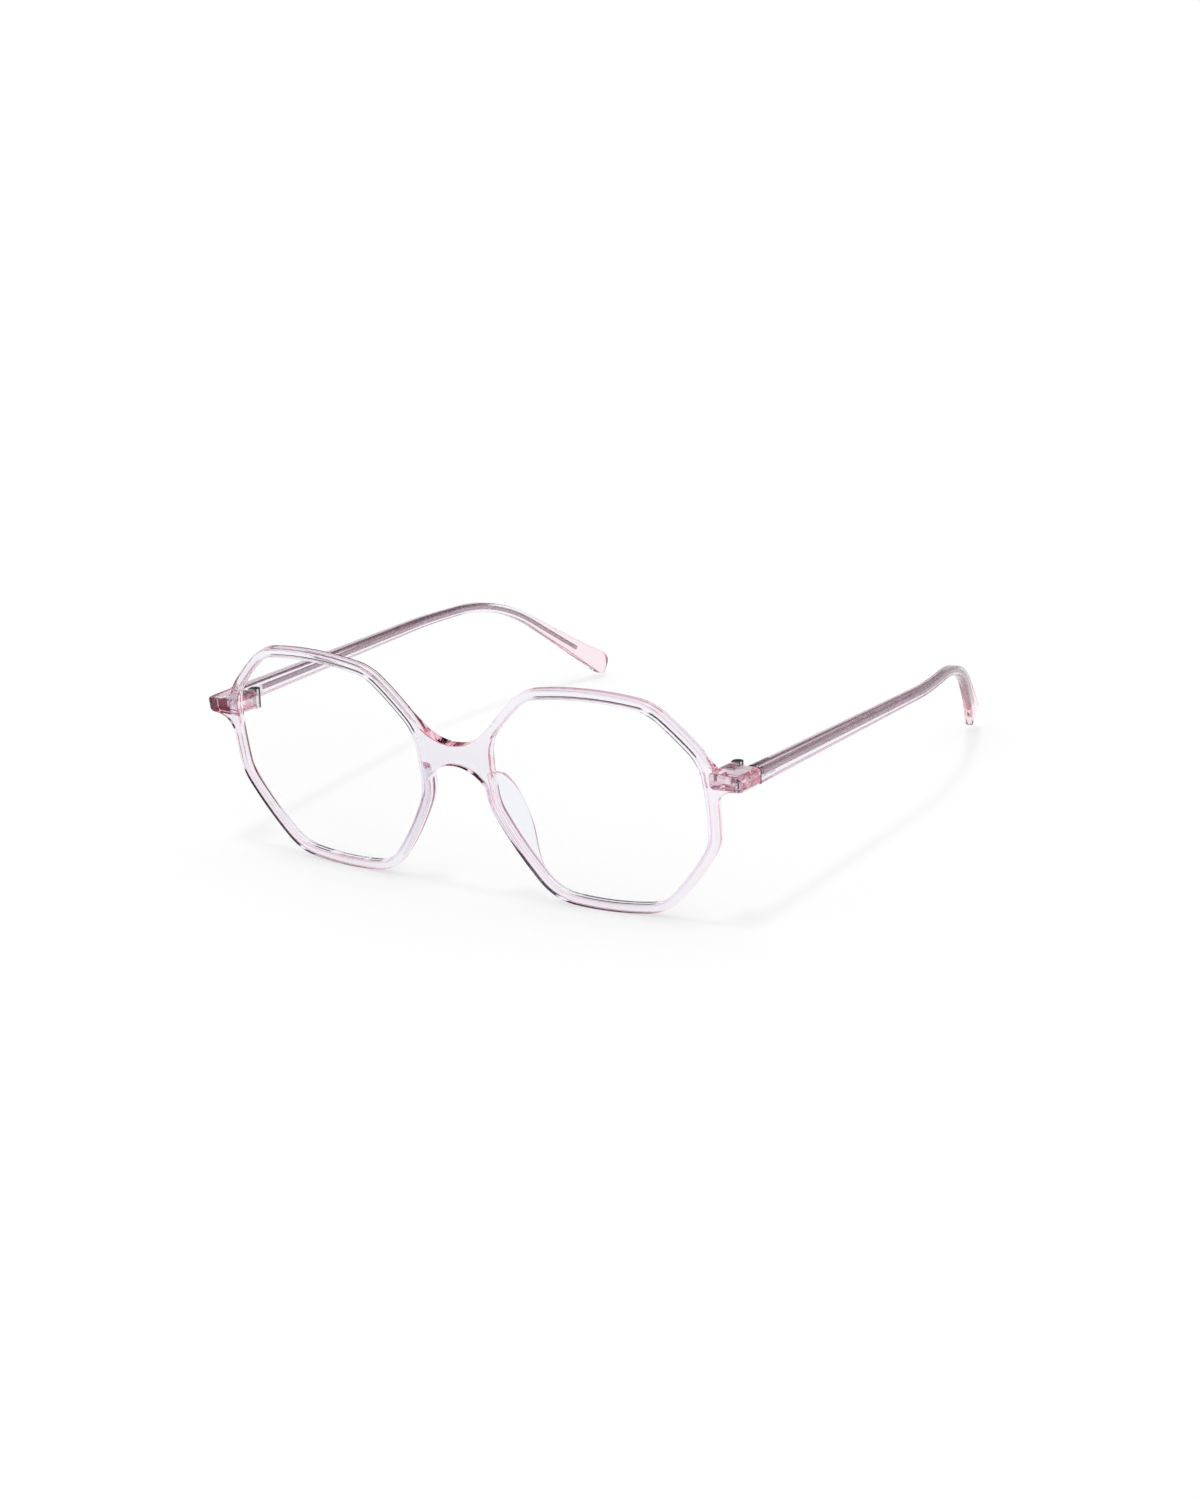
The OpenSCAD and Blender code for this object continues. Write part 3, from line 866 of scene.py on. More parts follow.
class Finishes:
    """Every finish of the glasses, made once."""

    def __init__(self) -> None:
        """Builds the materials."""
        self.acetate = ClearPlastic(
            name="clear_acetate_pink",
            tint=(0.91, 0.955, 1.0),
            warm_tint=(0.92, 0.945, 0.99),
            painted_edge_refraction=(0.95, 0.865, 0.91),
            blush_and_painted_depth_tint=(0.985, 0.74, 0.78),
            depth_colour=(0.94, 0.06, 0.26),
            depth_density=17.5,
            roughness_spread=0.008,
        ).build()
        self.pad = ClearPlastic(
            name="clear_pad_blue",
            tint=(0.90, 0.93, 0.975),
            warm_tint=(0.92, 0.92, 0.965),
            painted_edge_refraction=(0.92, 0.86, 0.92),
            blush_and_painted_depth_tint=(0.90, 0.86, 0.93),
            depth_colour=(0.62, 0.72, 0.95),
            depth_density=14.0,
            roughness=0.06,
            ior=1.22,
        ).build()
        self.lens = ClearPlastic(
            name="clear_lens_coated",
            tint=(0.995, 0.997, 0.998),
            warm_tint=(0.995, 0.998, 0.995),
            painted_edge_refraction=(0.95, 0.96, 0.97),
            blush_and_painted_depth_tint=(0.99, 0.99, 0.99),
            depth_colour=(0.95, 0.98, 0.97),
            depth_density=4.0,
            roughness_spread=0.004,
            ior=1.12,
        ).build()
        self.hinge = Metal(
            name="hinge_nickel",
            bright=(0.95, 0.96, 0.97),
            dull=(0.66, 0.67, 0.69),
            # painted dark reflection on the edges of the barrels, only between rim_from and rim_to
            rim_start=0.15,
            rim_from=-56.7 * MM,
            rim_to=-53.9 * MM,
            roughness=0.14,
            grain=(400.0, 9000.0, 9000.0),
        ).build()
        self.screw = Metal(
            name="screw_steel",
            bright=(0.16, 0.16, 0.17),
            dull=(0.05, 0.05, 0.055),
            roughness=0.22,
            grain=(9000.0, 9000.0, 600.0),
        ).build()
        self.core = Metal(
            name="core_wire_satin",
            bright=(0.73, 0.59, 0.64),
            dull=(0.48, 0.38, 0.41),
            cloud_scale=2600.0,
            roughness=0.34,
            grain=(9000.0, 500.0, 2600.0),
            grain_depth=0.5,
            # painted dark reflection at the edges of the wire
            rim=(0.30, 0.20, 0.21),
            rim_start=0.6,
        ).build()


# ---------------------------------------------------------------- front


@dataclass
class FrontPart:
    """What the pieces of the front share."""

    shape: Octagon = Octagon()
    place: FrontPlace = FrontPlace()


@dataclass
class FrontFrame(FrontPart):
    """The clear front: two octagon rims, the saddle bridge and the two end pieces."""

    temple: TemplePlace = TemplePlace()
    inward: float = 0.2
    edge_r: float = 0.38
    groove_w: float = 0.68
    bridge_top: float = 35.0
    bridge_h: float = 5.0
    bridge_top_r: float = 11.0
    bridge_arch_r: float = 8.5
    end_mid: float = 33.3
    end_h: float = 3.8
    end_corner_r: float = 1.0
    end_fillet: float = 4.5
    end_sweep_r: float = 6.5
    end_depth: float = 7.75
    end_width: float = 8.3
    block_in: float = 0.35
    block_round: float = 0.7
    slice_w: float = 3.0
    leaf: tuple[Flat, Flat, Flat] = ((-8.1, -4.5), (-0.8, 1.0), (-1.4, 1.4))
    # painted light: the blush of the front is the deep red that light takes on along its long ways
    # through the thick end pieces
    blush_share: float = 0.45
    blush_side: Flat = (62.2, 65.0)
    blush_depth: Flat = (-63.0, -58.0)

    def draw_outline(self, mesh: Mesh) -> None:
        """Draws the right half of the outer outline, clockwise from the top of the bridge.

        Args:
            mesh: mesh to draw in.
        """
        arcs, rim_w = self.shape.arcs(), self.shape.rim_w
        saddle = (0.0, self.bridge_top + self.bridge_top_r)
        rim_point = arcs[4].point(arcs[4].start, rim_w)
        reach = math.hypot(rim_point[0] - saddle[0], rim_point[1] - saddle[1])
        touch = math.degrees(math.acos(min(1.0, self.bridge_top_r / reach)))
        pen = Pen(mesh, (0.0, self.bridge_top), Outline.OUTER)
        pen.arc(saddle, heading_to(saddle, rim_point) - touch + 90, steps=10)
        pen.line(rim_point)
        for index in (3, 2, 1, 0, 15):  # over the top
            pen.follow(arcs[index], -1)
        self.draw_end(pen, arcs)
        for index in (12, 11, 10, 9, 8, 7, 6):  # round the bottom
            pen.follow(arcs[index], -1)
        arch = (0.0, self.bridge_top - self.bridge_h - self.bridge_arch_r)
        nasal = arcs[5]
        found = meet(nasal.centre, nasal.radius + rim_w, arch, self.bridge_arch_r)
        crossing = max(found, key=lambda p: p[1])
        turn = (heading_to(nasal.centre, crossing) - nasal.heading(1)) % -360
        pen.arc(nasal.centre, turn, steps=3)
        pen.arc(arch, 90 - heading_to(arch, crossing), steps=8)

    def draw_end(self, pen: Pen, arcs: list[Arc]) -> None:
        """Draws the outline of the end piece, from the upper rim round to the side rim.

        Args:
            pen: the pen, at the start of the corner above the end piece.
            arcs: the arcs of the octagon.
        """
        r, rim_w, end_x = self.end_corner_r, self.shape.rim_w, self.temple.end_x
        top, low = self.end_mid + self.end_h / 2, self.end_mid - self.end_h / 2
        corner, side = arcs[14], arcs[13]
        reach = corner.radius + rim_w + self.end_sweep_r
        rise = top + self.end_sweep_r - corner.centre[1]
        sweep = (corner.centre[0] + math.sqrt(reach**2 - rise**2), top + self.end_sweep_r)
        lean = heading_to(corner.centre, sweep)
        pen.arc(corner.centre, lean - corner.heading(1), steps=5)
        pen.arc(sweep, 270 - (lean + 180), steps=7)
        pen.line((end_x - r, top))
        pen.arc((end_x - r, top - r), -90, steps=5)
        pen.line((end_x, low + r))
        pen.arc((end_x - r, low + r), -90, steps=5)
        drop = low - self.end_fillet - side.centre[1]
        reach = side.radius + rim_w + self.end_fillet
        fillet = (side.centre[0] + math.sqrt(reach**2 - drop**2), low - self.end_fillet)
        lean = heading_to(side.centre, fillet)
        pen.line((fillet[0], low))
        pen.arc(fillet, 180 + lean - 90, steps=7)
        pen.arc(side.centre, side.start - lean, steps=6)

    def build_block(self) -> Piece:
        """Makes the block that runs back to the joint, with a round edge there.

        Returns:
            The right-hand block, in millimetres on the table.
        """
        half_w, half_h = self.end_width / 2, self.end_h / 2
        middle, r = BITE / 2 - half_w, self.edge_r * self.block_round
        width, height = self.end_width + BITE, self.end_h + 2 * BITE
        section = rounded_ring(width, height, self.end_corner_r, steps=5)
        stations = [(-(self.end_depth - self.edge_r - self.block_in), 0.0)]
        for step in range(ROUND_STEPS + 1):
            turn = math.radians(90 * step / ROUND_STEPS)
            stations.append((-r + r * math.sin(turn), r * (1 - math.cos(turn))))
        rings = []
        for y, less in stations:
            slim, low = 1 - less / half_w, 1 - less / half_h
            rings.append([Vector((middle + x * slim, y, z * low)) for x, z in section])
        mesh = bmesh.new()
        loft(mesh, rings)
        return to_object(mesh, "block", place=self.temple.put, scale=1.0)

    def blush_at(self, spot: Vector) -> float:
        """How deep the colour is at a place: deepest in the end pieces, behind the rims, where it
        is painted and stands in for the deep red that light takes on along its long ways through
        the thick acetate.
        """
        share = self.blush_share * soft_step(abs(spot.x), *self.blush_side)
        return share * soft_step(spot.y, *self.blush_depth)

    def build(self, finish: Finish) -> Piece:
        """Builds and dresses the front.

        Args:
            finish: material of the acetate.

        Returns:
            The front, which stands for the CAD node of that name.
        """
        mesh = bmesh.new()
        self.draw_outline(mesh)
        draw_opening(mesh, self.shape, -self.inward)
        bmesh.ops.mirror(mesh, geom=mesh.verts[:] + mesh.edges[:], axis="X", merge_dist=NEAR)
        plate(mesh, 0.0, self.place.front_t, self.edge_r)
        wall = self.place.front_t - 2 * self.edge_r
        push_band(mesh, wall, self.groove_w, -self.shape.groove_d)
        slice_across(mesh, self.slice_w, self.temple.end_x)
        front = to_object(mesh, "front_acetate", place=self.place.wrap, scale=1.0)
        for side in Side:
            block, seat = self.build_block(), leaf_seat(self.leaf, self.temple)
            for other, join in ((block, Join.ADD), (seat, Join.CUT)):
                if side is Side.LEFT:
                    turn_left(other)
                combine(front, other, join)
        tidy(front)
        blush(front, self.blush_at)
        even_normals(front)
        dress(front, finish)
        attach(front, "front")
        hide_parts("front_frame")
        return front


@dataclass
class Lens(FrontPart):
    """A clear lens, held by the tongue round its edge."""

    lens_t: float = 1.4
    tongue_t: float = 0.6
    gap: float = 0.24
    slice_w: float = 4.0
    slice_x: float = 62.0
    slice_z: float = 52.0

    def build(self, side: Side, finish: Finish) -> Piece:
        """Builds and dresses one lens.

        Args:
            side: which lens.
            finish: material of the lens.

        Returns:
            The lens, which stands for its CAD node.
        """
        mesh = bmesh.new()
        draw_opening(mesh, self.shape, -self.gap)
        plate(mesh, (self.place.front_t - self.lens_t) / 2, self.lens_t, 0.0)
        push_band(mesh, self.lens_t, self.tongue_t, self.shape.groove_d)
        slice_across(mesh, self.slice_w, self.slice_x)
        slice_across(mesh, self.slice_w, self.slice_z, axis=2)
        lens = to_object(mesh, f"lens_{side.label}_clear", side, self.place.wrap, sharp=30)
        dress(lens, finish)
        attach(lens, "front")
        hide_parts(f"lens_{side.label}")
        return lens


@dataclass
class NosePad(FrontPart):
    """A clear pad behind the nasal side of a rim, thickest at two thirds of its height.

    Each row of the section gives how far out it starts from the opening, then its shares of
    the crest's thickness, of the lean away from the nose and of the reach behind the rim.
    """

    top: float = 29.5
    bottom: float = 6.0
    height_shares: Flat = (0.02, 0.97)
    reach: float = 4.0
    end_reach: float = 0.3
    swell_powers: Flat = (1.5, 0.8)
    end_spread: float = 0.3
    spread_share: float = 0.4
    spread_from: float = 0.8
    splay: float = 1.9
    crest_t: float = 1.8
    gap: float = 0.02
    nasal: tuple[int, ...] = (2, 3, 4, 5, 6, 7, 8, 9)  # arcs of the opening beside the nose
    section: tuple[tuple[float, float, float, float], ...] = (
        (1.8, 0.0, 0.0, 0.0),
        (1.8, 0.0, 0.15, 0.45),
        (0.0, 1 / 2, 0.75, 0.85),
        (0.0, 1 / 4, 1.0, 1.0),
        (0.0, -1 / 4, 1.0, 1.0),
        (0.0, -1 / 2, 1.0, 0.85),
        (0.0, -1 / 3, 0.55, 0.4),
        (0.1, 0.0, 0.0, 0.0),
    )
    arc_steps: int = 12
    crease_from: float = 60.0
    crease: float = 0.6
    smooth_levels: int = 2

    def ring(self, arc: Arc, heading: float) -> list[Vector]:
        """Ring of the pad at one station of the rim.

        Args:
            arc: corner or side arc of the opening.
            heading: heading of the station on that arc.

        Returns:
            The places of the ring's vertices, on the table.
        """
        share = (arc.point(heading)[1] - self.bottom) / (self.top - self.bottom)
        share = min(self.height_shares[1], max(self.height_shares[0], share))
        swell = math.sin(math.pi * share ** self.swell_powers[0]) ** self.swell_powers[1]
        reach = self.end_reach + (self.reach - self.end_reach) * swell
        lean = -self.splay * swell
        spread = soft_step(share, 0.0, self.spread_share)
        spread = self.end_spread + (1 - self.end_spread) * spread
        middle = self.shape.rim_w * self.spread_from
        ring = []
        for start, of_crest, of_lean, of_reach in self.section:
            off = start + of_crest * self.crest_t + of_lean * lean
            x, z = arc.point(heading, middle + (off - middle) * spread)
            behind = self.place.front_t + self.gap + of_reach * reach
            ring.append(self.place.wrap(Vector((x, behind, z))))
        return ring

    def build(self, side: Side, finish: Finish) -> Piece:
        """Builds and dresses one pad.

        Args:
            side: which pad.
            finish: material of the pad.

        Returns:
            The pad, which stands for its CAD node.
        """
        rings, arcs = [], self.shape.arcs()
        x_mid = (self.shape.bridge_gap + self.shape.lens_w) / 2
        for arc in (arcs[index] for index in self.nasal):
            for step in range(self.arc_steps):
                heading = arc.heading(step / self.arc_steps)
                x, z = arc.point(heading)
                if x < x_mid and self.bottom < z < self.top:
                    rings.append(self.ring(arc, heading))
        mesh = bmesh.new()
        loft(mesh, rings)
        creases = mesh.edges.layers.float.new("crease_edge")
        for edge in mesh.edges:
            if edge.is_manifold and edge.calc_face_angle() > math.radians(self.crease_from):
                edge[creases] = self.crease
        pad = to_object(mesh, f"nose_pad_{side.label}_clear", side, sharp=80)
        smooth = pad.modifiers.new("smooth", "SUBSURF")
        smooth.levels = smooth.render_levels = self.smooth_levels
        dress(pad, finish)
        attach(pad, "front")
        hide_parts(f"nose_pad_{side.label}")
        return pad


# ---------------------------------------------------------------- temples


@dataclass(frozen=True)
class TemplePath:
    """The middle line of a temple, in its own frame, and its section along it."""

    temple_l: float = 97.5
    tip_l: float = 38.5
    tip_drop: float = 37.0
    tip_in: float = 17.0
    in_lead: float = 15.0
    bend_r: float = 36.0
    temple_h: float = 3.8
    waist_h: float = 2.2
    tip_h: float = 6.2
    temple_t: float = 3.4
    tip_t: float = 2.3
    in_power: float = 1.45
    flare_power: float = 2.8
    step: float = 3.0
    least_step: float = 0.5
    bend_step: float = 1.5
    bend_room: Flat = (8.0, 4.0)

    @property
    def bend_cut(self) -> float:
        """Length that the bend takes from each of the two straight parts."""
        return self.bend_r * math.tan(math.radians(self.tip_drop / 2))

    @property
    def bend_start(self) -> float:
        """Length at which the bend starts."""
        return self.temple_l - self.bend_cut

    @property
    def bend_arc(self) -> float:
        """Length of the bend."""
        return self.bend_r * math.radians(self.tip_drop)

    @property
    def length(self) -> float:
        """Length of the whole middle line."""
        return self.bend_start + self.bend_arc + self.tip_l - self.bend_cut

    def drop(self, s: float) -> float:
        """Angle below the line of the temple at a length, in radians."""
        return min(math.radians(self.tip_drop), max(0.0, (s - self.bend_start) / self.bend_r))

    def point(self, s: float) -> Vector:
        """Point of the middle line at a length from the joint.

        Args:
            s: length along the temple.

        Returns:
            The point in the temple's frame.
        """
        bent, down = self.drop(s), math.radians(self.tip_drop)
        rest = max(0.0, s - self.bend_start - self.bend_arc)
        y = min(s, self.bend_start) + self.bend_r * math.sin(bent) + rest * math.cos(down)
        z = -self.bend_r * (1 - math.cos(bent)) - rest * math.sin(down)
        lead = self.bend_start - self.in_lead
        share = max(0.0, (s - lead) / (self.length - lead))
        return Vector((-self.tip_in * share**self.in_power, y, z))

    def height(self, s: float) -> float:
        """Height of the section.

        Args:
            s: length along the temple.

        Returns:
            The height, which falls to the waist at the bend and flares to the tip.
        """
        share = max(0.0, (s - self.bend_start) / (self.length - self.bend_start))
        straight = min(1.0, s / self.bend_start)
        taper = self.temple_h + (self.waist_h - self.temple_h) * straight
        return taper + (self.tip_h - self.waist_h) * share**self.flare_power

    def thickness(self, s: float) -> float:
        """Thickness of the section at a length."""
        return self.temple_t + (self.tip_t - self.temple_t) * min(1.0, s / self.bend_start)

    def ring(self, s: float, section: Iterable[Flat], middle: float) -> list[Vector]:
        """Ring round the middle line.

        Args:
            s: length at which the ring stands.
            section: points of the section, as across and up.
            middle: how far across the section's middle is.

        Returns:
            The places of the ring, in the temple's frame.
        """
        centre, bent = self.point(s), self.drop(s)
        back, up = math.sin(bent), math.cos(bent)
        return [
            Vector((centre.x + middle + x, centre.y + z * back, centre.z + z * up))
            for x, z in section
        ]

    def stations(self, start: float, end: float) -> list[float]:
        """Lengths at which rings stand, closer together in the bend.

        Args:
            start: first length.
            end: last length.

        Returns:
            The lengths, both ends included.
        """
        found, s = [start], start
        low = self.bend_start - self.bend_room[0]
        high = self.bend_start + self.bend_arc + self.bend_room[1]
        while s < end - self.least_step:
            s += self.bend_step if low < s < high else self.step
            found.append(min(s, end))
        return found


@dataclass
class Temple:
    """A clear temple with its core wire, its hinge leaf let into the inner face."""

    side: Side
    path: TemplePath = TemplePath()
    place: TemplePlace = TemplePlace()
    edge_r: float = 0.5
    joint_gap: float = 0.15
    joint_round: float = 0.22
    joint_rings: tuple[int, ...] = (90, 60, 30)
    tip_short: float = 1.9
    tip_round: float = 2.6
    tip_flat: float = 0.4
    tip_lean: float = 0.45
    tip_rings: int = 8
    tip_open: float = 0.5  # rings left out where the round would close
    core_t: float = 0.8
    core_h: float = 1.15
    core_end_h: float = 0.9
    core_edge_r: float = 0.12
    core_in: float = 0.8
    core_lift: float = 0.2
    core_reach: float = 0.76
    core_start: float = 2.5
    leaf: tuple[Flat, Flat, Flat] = ((-5.4, -2.6), (1.3, 7.8), (-1.0, 1.0))
    blush_share: float = 0.48
    blush_from: Flat = (36.0, 64.0)

    def ring(self, s: float, less_w: float, less_h: float, lean: float = 0.0) -> list[Vector]:
        """Ring of the acetate body at a length.

        Args:
            s: length along the temple.
            less_w: what either side loses.
            less_h: what the top and the bottom lose.
            lean: share of that by which the ring goes down.

        Returns:
            The places of the ring, in the temple's frame.
        """
        width = self.path.thickness(s) - 2 * less_w
        height = self.path.height(s) - 2 * less_h
        radius = min(self.edge_r, width / 2 - BITE, height / 2 - BITE)
        section = [(x, z - lean * less_h) for x, z in rounded_ring(width, height, radius)]
        return self.path.ring(s, section, -self.path.temple_t / 2)

    def body_rings(self) -> list[list[Vector]]:
        """Rings of the acetate body, with a soft edge at the joint and a round tip.

        Returns:
            The rings from the joint to the tip.
        """
        rings = []
        for angle in self.joint_rings:
            turn = math.radians(angle)
            less = self.joint_round * (1 - math.cos(turn))
            s = self.joint_gap + self.joint_round * (1 - math.sin(turn))
            rings.append(self.ring(s, less, less))
        start = self.joint_gap + self.joint_round
        end = self.path.length - self.tip_short - self.tip_round
        rings += [self.ring(s, 0.0, 0.0) for s in self.path.stations(start, end)]
        for step in range(1, self.tip_rings + 1):
            turn = math.radians(90 * step / (self.tip_rings + self.tip_open))
            less = self.tip_round * (1 - math.cos(turn))
            s = end + self.tip_round * math.sin(turn)
            rings.append(self.ring(s, less * self.tip_flat, less, self.tip_lean))
        return rings

    def blush_at(self, spot: Vector) -> float:
        """How deep the colour is at a place: deeper towards the tip."""
        return self.blush_share * soft_step(spot.y, *self.blush_from)

    def build_body(self, finish: Finish) -> Piece:
        """Builds and dresses the acetate.

        Args:
            finish: material of the acetate.

        Returns:
            The temple, which stands for its CAD node.
        """
        mesh, name = bmesh.new(), f"temple_{self.side.label}"
        loft(mesh, self.body_rings())
        body = to_object(mesh, f"{name}_acetate", place=self.place.put, scale=1.0)
        combine(body, leaf_seat(self.leaf, self.place), Join.CUT)
        if self.side is Side.LEFT:
            turn_left(body)
        tidy(body, sharp=50)
        blush(body, self.blush_at)
        dress(body, finish)
        even_normals(body)
        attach(body, name)
        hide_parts(name)
        return body

    def build_core(self, finish: Finish) -> Piece:
        """Builds and dresses the core wire.

        Args:
            finish: material of the wire.

        Returns:
            The wire, which stands for its CAD node.
        """
        path, label = self.path, self.side.label
        end = path.bend_start + self.core_reach * (path.length - path.bend_start)
        near = -path.temple_t + self.core_in + self.core_t / 2
        rings = []
        for s in path.stations(self.core_start, end):
            height = self.core_h + (self.core_end_h - self.core_h) * s / end
            to_middle = min(1.0, s / path.bend_start)
            middle = near + (-path.temple_t / 2 - near) * to_middle
            lift = self.core_lift * (1 - s / end)
            section = rounded_ring(self.core_t, height, self.core_edge_r, steps=2)
            rings.append(path.ring(s, [(x, z + lift) for x, z in section], middle))
        mesh = bmesh.new()
        loft(mesh, rings)
        core = to_object(mesh, f"core_wire_{label}", self.side, self.place.put, sharp=50)
        dress(core, finish)
        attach(core, f"temple_{label}")
        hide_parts(f"temple_core_{label}")
        return core


@dataclass
class Hinge:
    """The metal of one hinge: two leaves and the screw that is their pin, as packed."""

    side: Side

    def dress(self, metal: Finish, screw: Finish) -> list[str]:
        """Gives the CAD nodes their metal.

        Args:
            metal: material of the leaves.
            screw: material of the screw.

        Returns:
            The names of the nodes.
        """
        kinds = {"front_hinge": metal, "temple_hinge": metal, "hinge_screw": screw}
        nodes = {f"{kind}_{self.side.label}": finish for kind, finish in kinds.items()}
        for name, finish in nodes.items():
            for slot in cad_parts[name].material_slots:
                slot.material = finish
        return list(nodes)


# ---------------------------------------------------------------- studio


@dataclass(frozen=True)
class DarkPatch:
    """A dark part of the room, which shows only in light that turned inside a clear piece."""

    azimuth: float
    height: float
    reach: Flat
    colour: Triple
    most_turns: float = 99.0  # light that turned more often doesn't find it

    def way(self) -> Vector:
        """Direction of its middle.

        Returns:
            A unit vector; the azimuth goes from +Y towards +X.
        """
        turn, rise = math.radians(self.azimuth), math.radians(self.height)
        level = math.cos(rise)
        return Vector((level * math.sin(turn), level * math.cos(turn), math.sin(rise)))

    def edge(self) -> Flat:
        """Cosines at which it starts and is full."""
        full, none = (math.cos(math.radians(angle)) for angle in self.reach)
        return none, full


@dataclass
class Studio:
    """The floor, the light and the camera, which were fitted to the photograph.

    Light that turned inside a clear piece finds dark patches in the room and a card on the
    floor. It is tinted the more, the more often it turned. No other light finds them.
    """

    floor_size: float = 6.0
    floor_glow: float = 0.55
    floor_roughness: float = 0.9
    floor_colour: Triple = (0.9, 0.9, 0.9)
    white: Triple = (1.0, 1.0, 1.0)
    base_light: Triple = (0.98, 0.98, 0.98)
    key_power: float = 0.58
    key_spread: float = 9.0
    key_way: Triple = (0.02, -0.10, 1.0)
    patches: tuple[DarkPatch, ...] = (
        DarkPatch(-38.0, 34.0, (21.0, 27.0), (0.010, 0.006, 0.016), 2.5),
        DarkPatch(24.0, 27.0, (23.0, 29.0), (0.010, 0.006, 0.020), 1.5),
        DarkPatch(28.0, 57.0, (9.0, 14.0), (0.010, 0.006, 0.020), 2.5),
        DarkPatch(-140.0, 40.0, (14.0, 20.0), (0.020, 0.006, 0.026), 2.9),
        DarkPatch(180.0, 40.0, (18.0, 34.0), (0.40, 0.12, 0.18)),
    )
    first_turn: float = 0.5
    long_way: Triple = (0.99, 0.61, 0.68)
    long_turns: Flat = (1.2, 5.5)
    card_colour: Triple = (0.20, 0.006, 0.03)
    card_pale: Triple = (0.97, 0.62, 0.68)
    card_near: Flat = (-0.070, -0.076)
    card_far: Flat = (-0.130, -0.110)
    card_side: Flat = (0.030, -0.035)
    camera_place: Triple = (0.5101, -0.7729, 0.3398)
    camera_right: Triple = (0.84127, 0.53669, -0.06508)
    camera_down: Triple = (0.12873, -0.31577, -0.94007)
    camera_forward: Triple = (-0.52508, 0.78247, -0.33473)
    camera_clip: Flat = (0.01, 50.0)
    focal_px: float = 4321.35
    image_w: int = 1200
    sensor: float = 36.0
    most_bounces: int = 20

    def by_turns(self, board: NodeBoard, turns: Socket, few: Triple) -> Socket:
        """Gives a colour to light of few turns and the tint of the long way to the rest."""
        return board.mix(board.ramp(turns, *self.long_turns), few, self.long_way)

    def build_floor(self) -> Piece:
        """Makes the white floor, which keeps a faint shadow.

        Returns:
            The floor, as a part of the stage.
        """
        mesh = bmesh.new()
        bmesh.ops.create_grid(mesh, x_segments=4, y_segments=4, size=self.floor_size / 2)
        floor = to_object(mesh, "floor", scale=1.0)
        material, board, shader, out = new_finish("floor_white")
        along = board.along()
        near, far = board.ramp(along["Y"], *self.card_near), board.ramp(along["Y"], *self.card_far)
        turns = board.add("ShaderNodeLightPath").outputs["Glossy Depth"]
        turned = board.math("GREATER_THAN", turns, self.first_turn)
        shade = board.math("MULTIPLY", board.math("MULTIPLY", near, far), turned)
        aside = board.ramp(along["X"], *self.card_side)
        card = board.mix(aside, self.card_pale, self.card_colour)
        white, paper = (
            board.mix(shade, self.by_turns(board, turns, colour), card)
            for colour in (self.white, self.floor_colour)
        )
        glow = board.add("ShaderNodeEmission", {"Color": white, "Strength": 1.0})
        board.fill(shader, {"Base Color": paper, "Roughness": self.floor_roughness})
        parts = {"Fac": self.floor_glow, 1: shader.outputs["BSDF"], 2: glow.outputs["Emission"]}
        mixed = board.add("ShaderNodeMixShader", parts)
        board.fill(out, {"Surface": mixed.outputs["Shader"]})
        dress(floor, material)
        floor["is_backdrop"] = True
        return floor

    def build_world(self) -> None:
        """Makes a white surround, with the dark patches."""
        world = bpy.data.worlds.new("studio")
        bpy.context.scene.world = world
        world.use_nodes = True
        board = NodeBoard(world.node_tree)
        place, ways = board.place("Generated"), board.add("ShaderNodeLightPath").outputs
        turns = ways["Glossy Depth"]
        turned = board.math("GREATER_THAN", turns, self.first_turn)
        seen = self.by_turns(board, turns, self.white)
        for patch in self.patches:
            inputs = {0: place, 1: patch.way()}
            toward = board.add("ShaderNodeVectorMath", inputs, operation="DOT_PRODUCT")
            inside = board.ramp(toward.outputs["Value"], *patch.edge())
            few = board.math("LESS_THAN", turns, patch.most_turns)
            inside = board.math("MULTIPLY", board.math("MULTIPLY", inside, few), turned)
            seen = board.mix(inside, seen, patch.colour)
        eyes = board.math("ADD", ways["Is Glossy Ray"], ways["Is Transmission Ray"])
        eyes = board.math("MINIMUM", board.math("ADD", eyes, ways["Is Camera Ray"]), 1.0)
        light = {"Color": board.mix(eyes, self.base_light, seen), "Strength": 1.0}
        board.fill(world.node_tree.nodes["Background"], light)

    def build_key(self) -> None:
        """Makes the light above, which draws the soft shadows under the glasses."""
        sun = bpy.data.lights.new("key", "SUN")
        sun.energy, sun.angle = self.key_power, math.radians(self.key_spread)
        made = bpy.data.objects.new("key", sun)
        bpy.context.scene.collection.objects.link(made)
        way = Vector(self.key_way).normalized()
        made.matrix_world = way.to_track_quat("Z", "Y").to_matrix().to_4x4()
        made.visible_glossy = made.visible_transmission = False

    def build_camera(self) -> None:
        """Sets the camera where the photograph was taken from."""
        camera = bpy.data.cameras.new("camera")
        camera.sensor_fit = "HORIZONTAL"
        camera.sensor_width = self.sensor
        camera.lens = self.focal_px / self.image_w * self.sensor
        camera.clip_start, camera.clip_end = self.camera_clip
        made = bpy.data.objects.new("camera", camera)
        bpy.context.scene.collection.objects.link(made)
        right, down = Vector(self.camera_right), Vector(self.camera_down)
        turn = Matrix((right, -down, -Vector(self.camera_forward))).transposed().to_4x4()
        made.matrix_world = Matrix.Translation(self.camera_place) @ turn
        bpy.context.scene.camera = made

    def build(self) -> None:
        """Builds the studio, with room for the many turns of light in clear pieces."""
        self.build_floor()
        self.build_world()
        self.build_key()
        self.build_camera()
        scene = bpy.context.scene
        scene.view_settings.view_transform = "Standard"
        for limit in ("max_bounces", "transmission_bounces", "glossy_bounces"):
            setattr(scene.cycles, limit, self.most_bounces)


def report(made: Piece) -> None:
    """Says what a piece came out as."""
    data = made.data
    LOG.info("%s: %d vertices, %d faces", made.name, len(data.vertices), len(data.polygons))


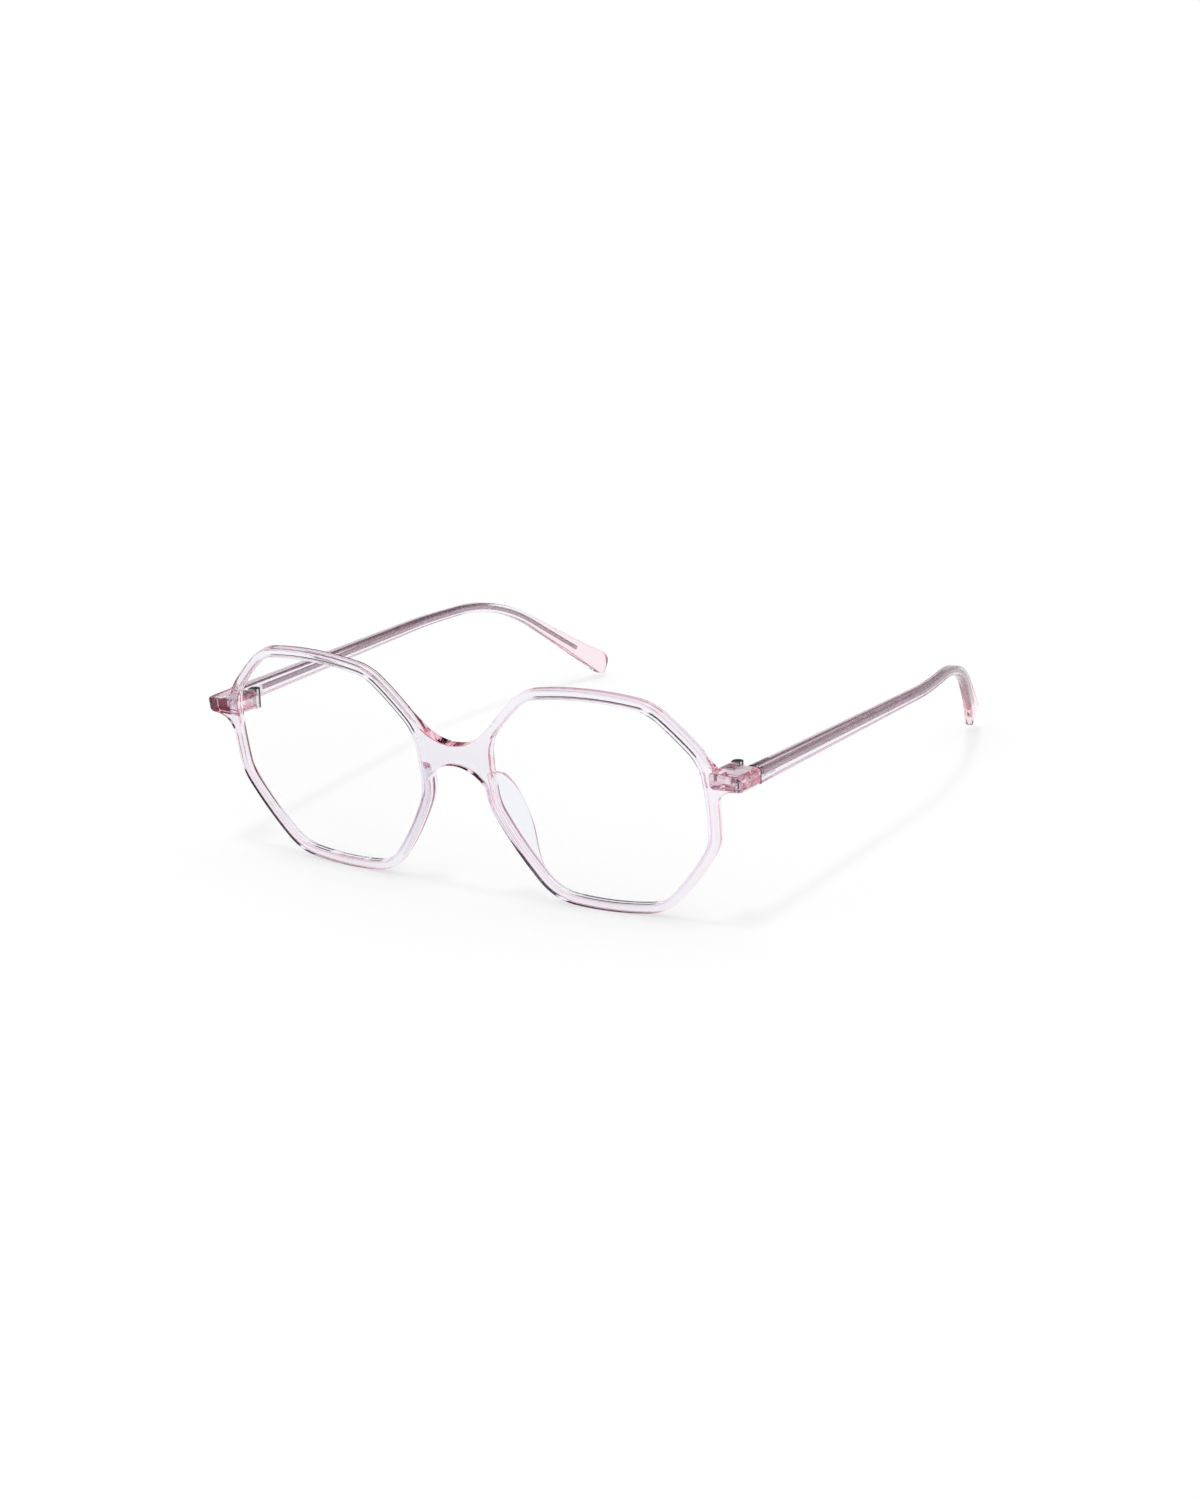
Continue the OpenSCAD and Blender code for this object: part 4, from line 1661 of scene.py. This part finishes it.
def main() -> None:
    """Builds every piece in order."""
    logging.basicConfig(level=logging.INFO, format="%(name)s: %(message)s")
    Studio().build()
    finishes = Finishes()
    report(FrontFrame().build(finishes.acetate))
    for side in Side:
        report(Lens().build(side, finishes.lens))
        report(NosePad().build(side, finishes.pad))
        temple = Temple(side)
        report(temple.build_body(finishes.acetate))
        report(temple.build_core(finishes.core))
        LOG.info("dressed %s", ", ".join(Hinge(side).dress(finishes.hinge, finishes.screw)))
    boxes = [[list(corner) for corner in box] for box in (cad_box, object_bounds())]


if __name__ == "__main__":
    main()
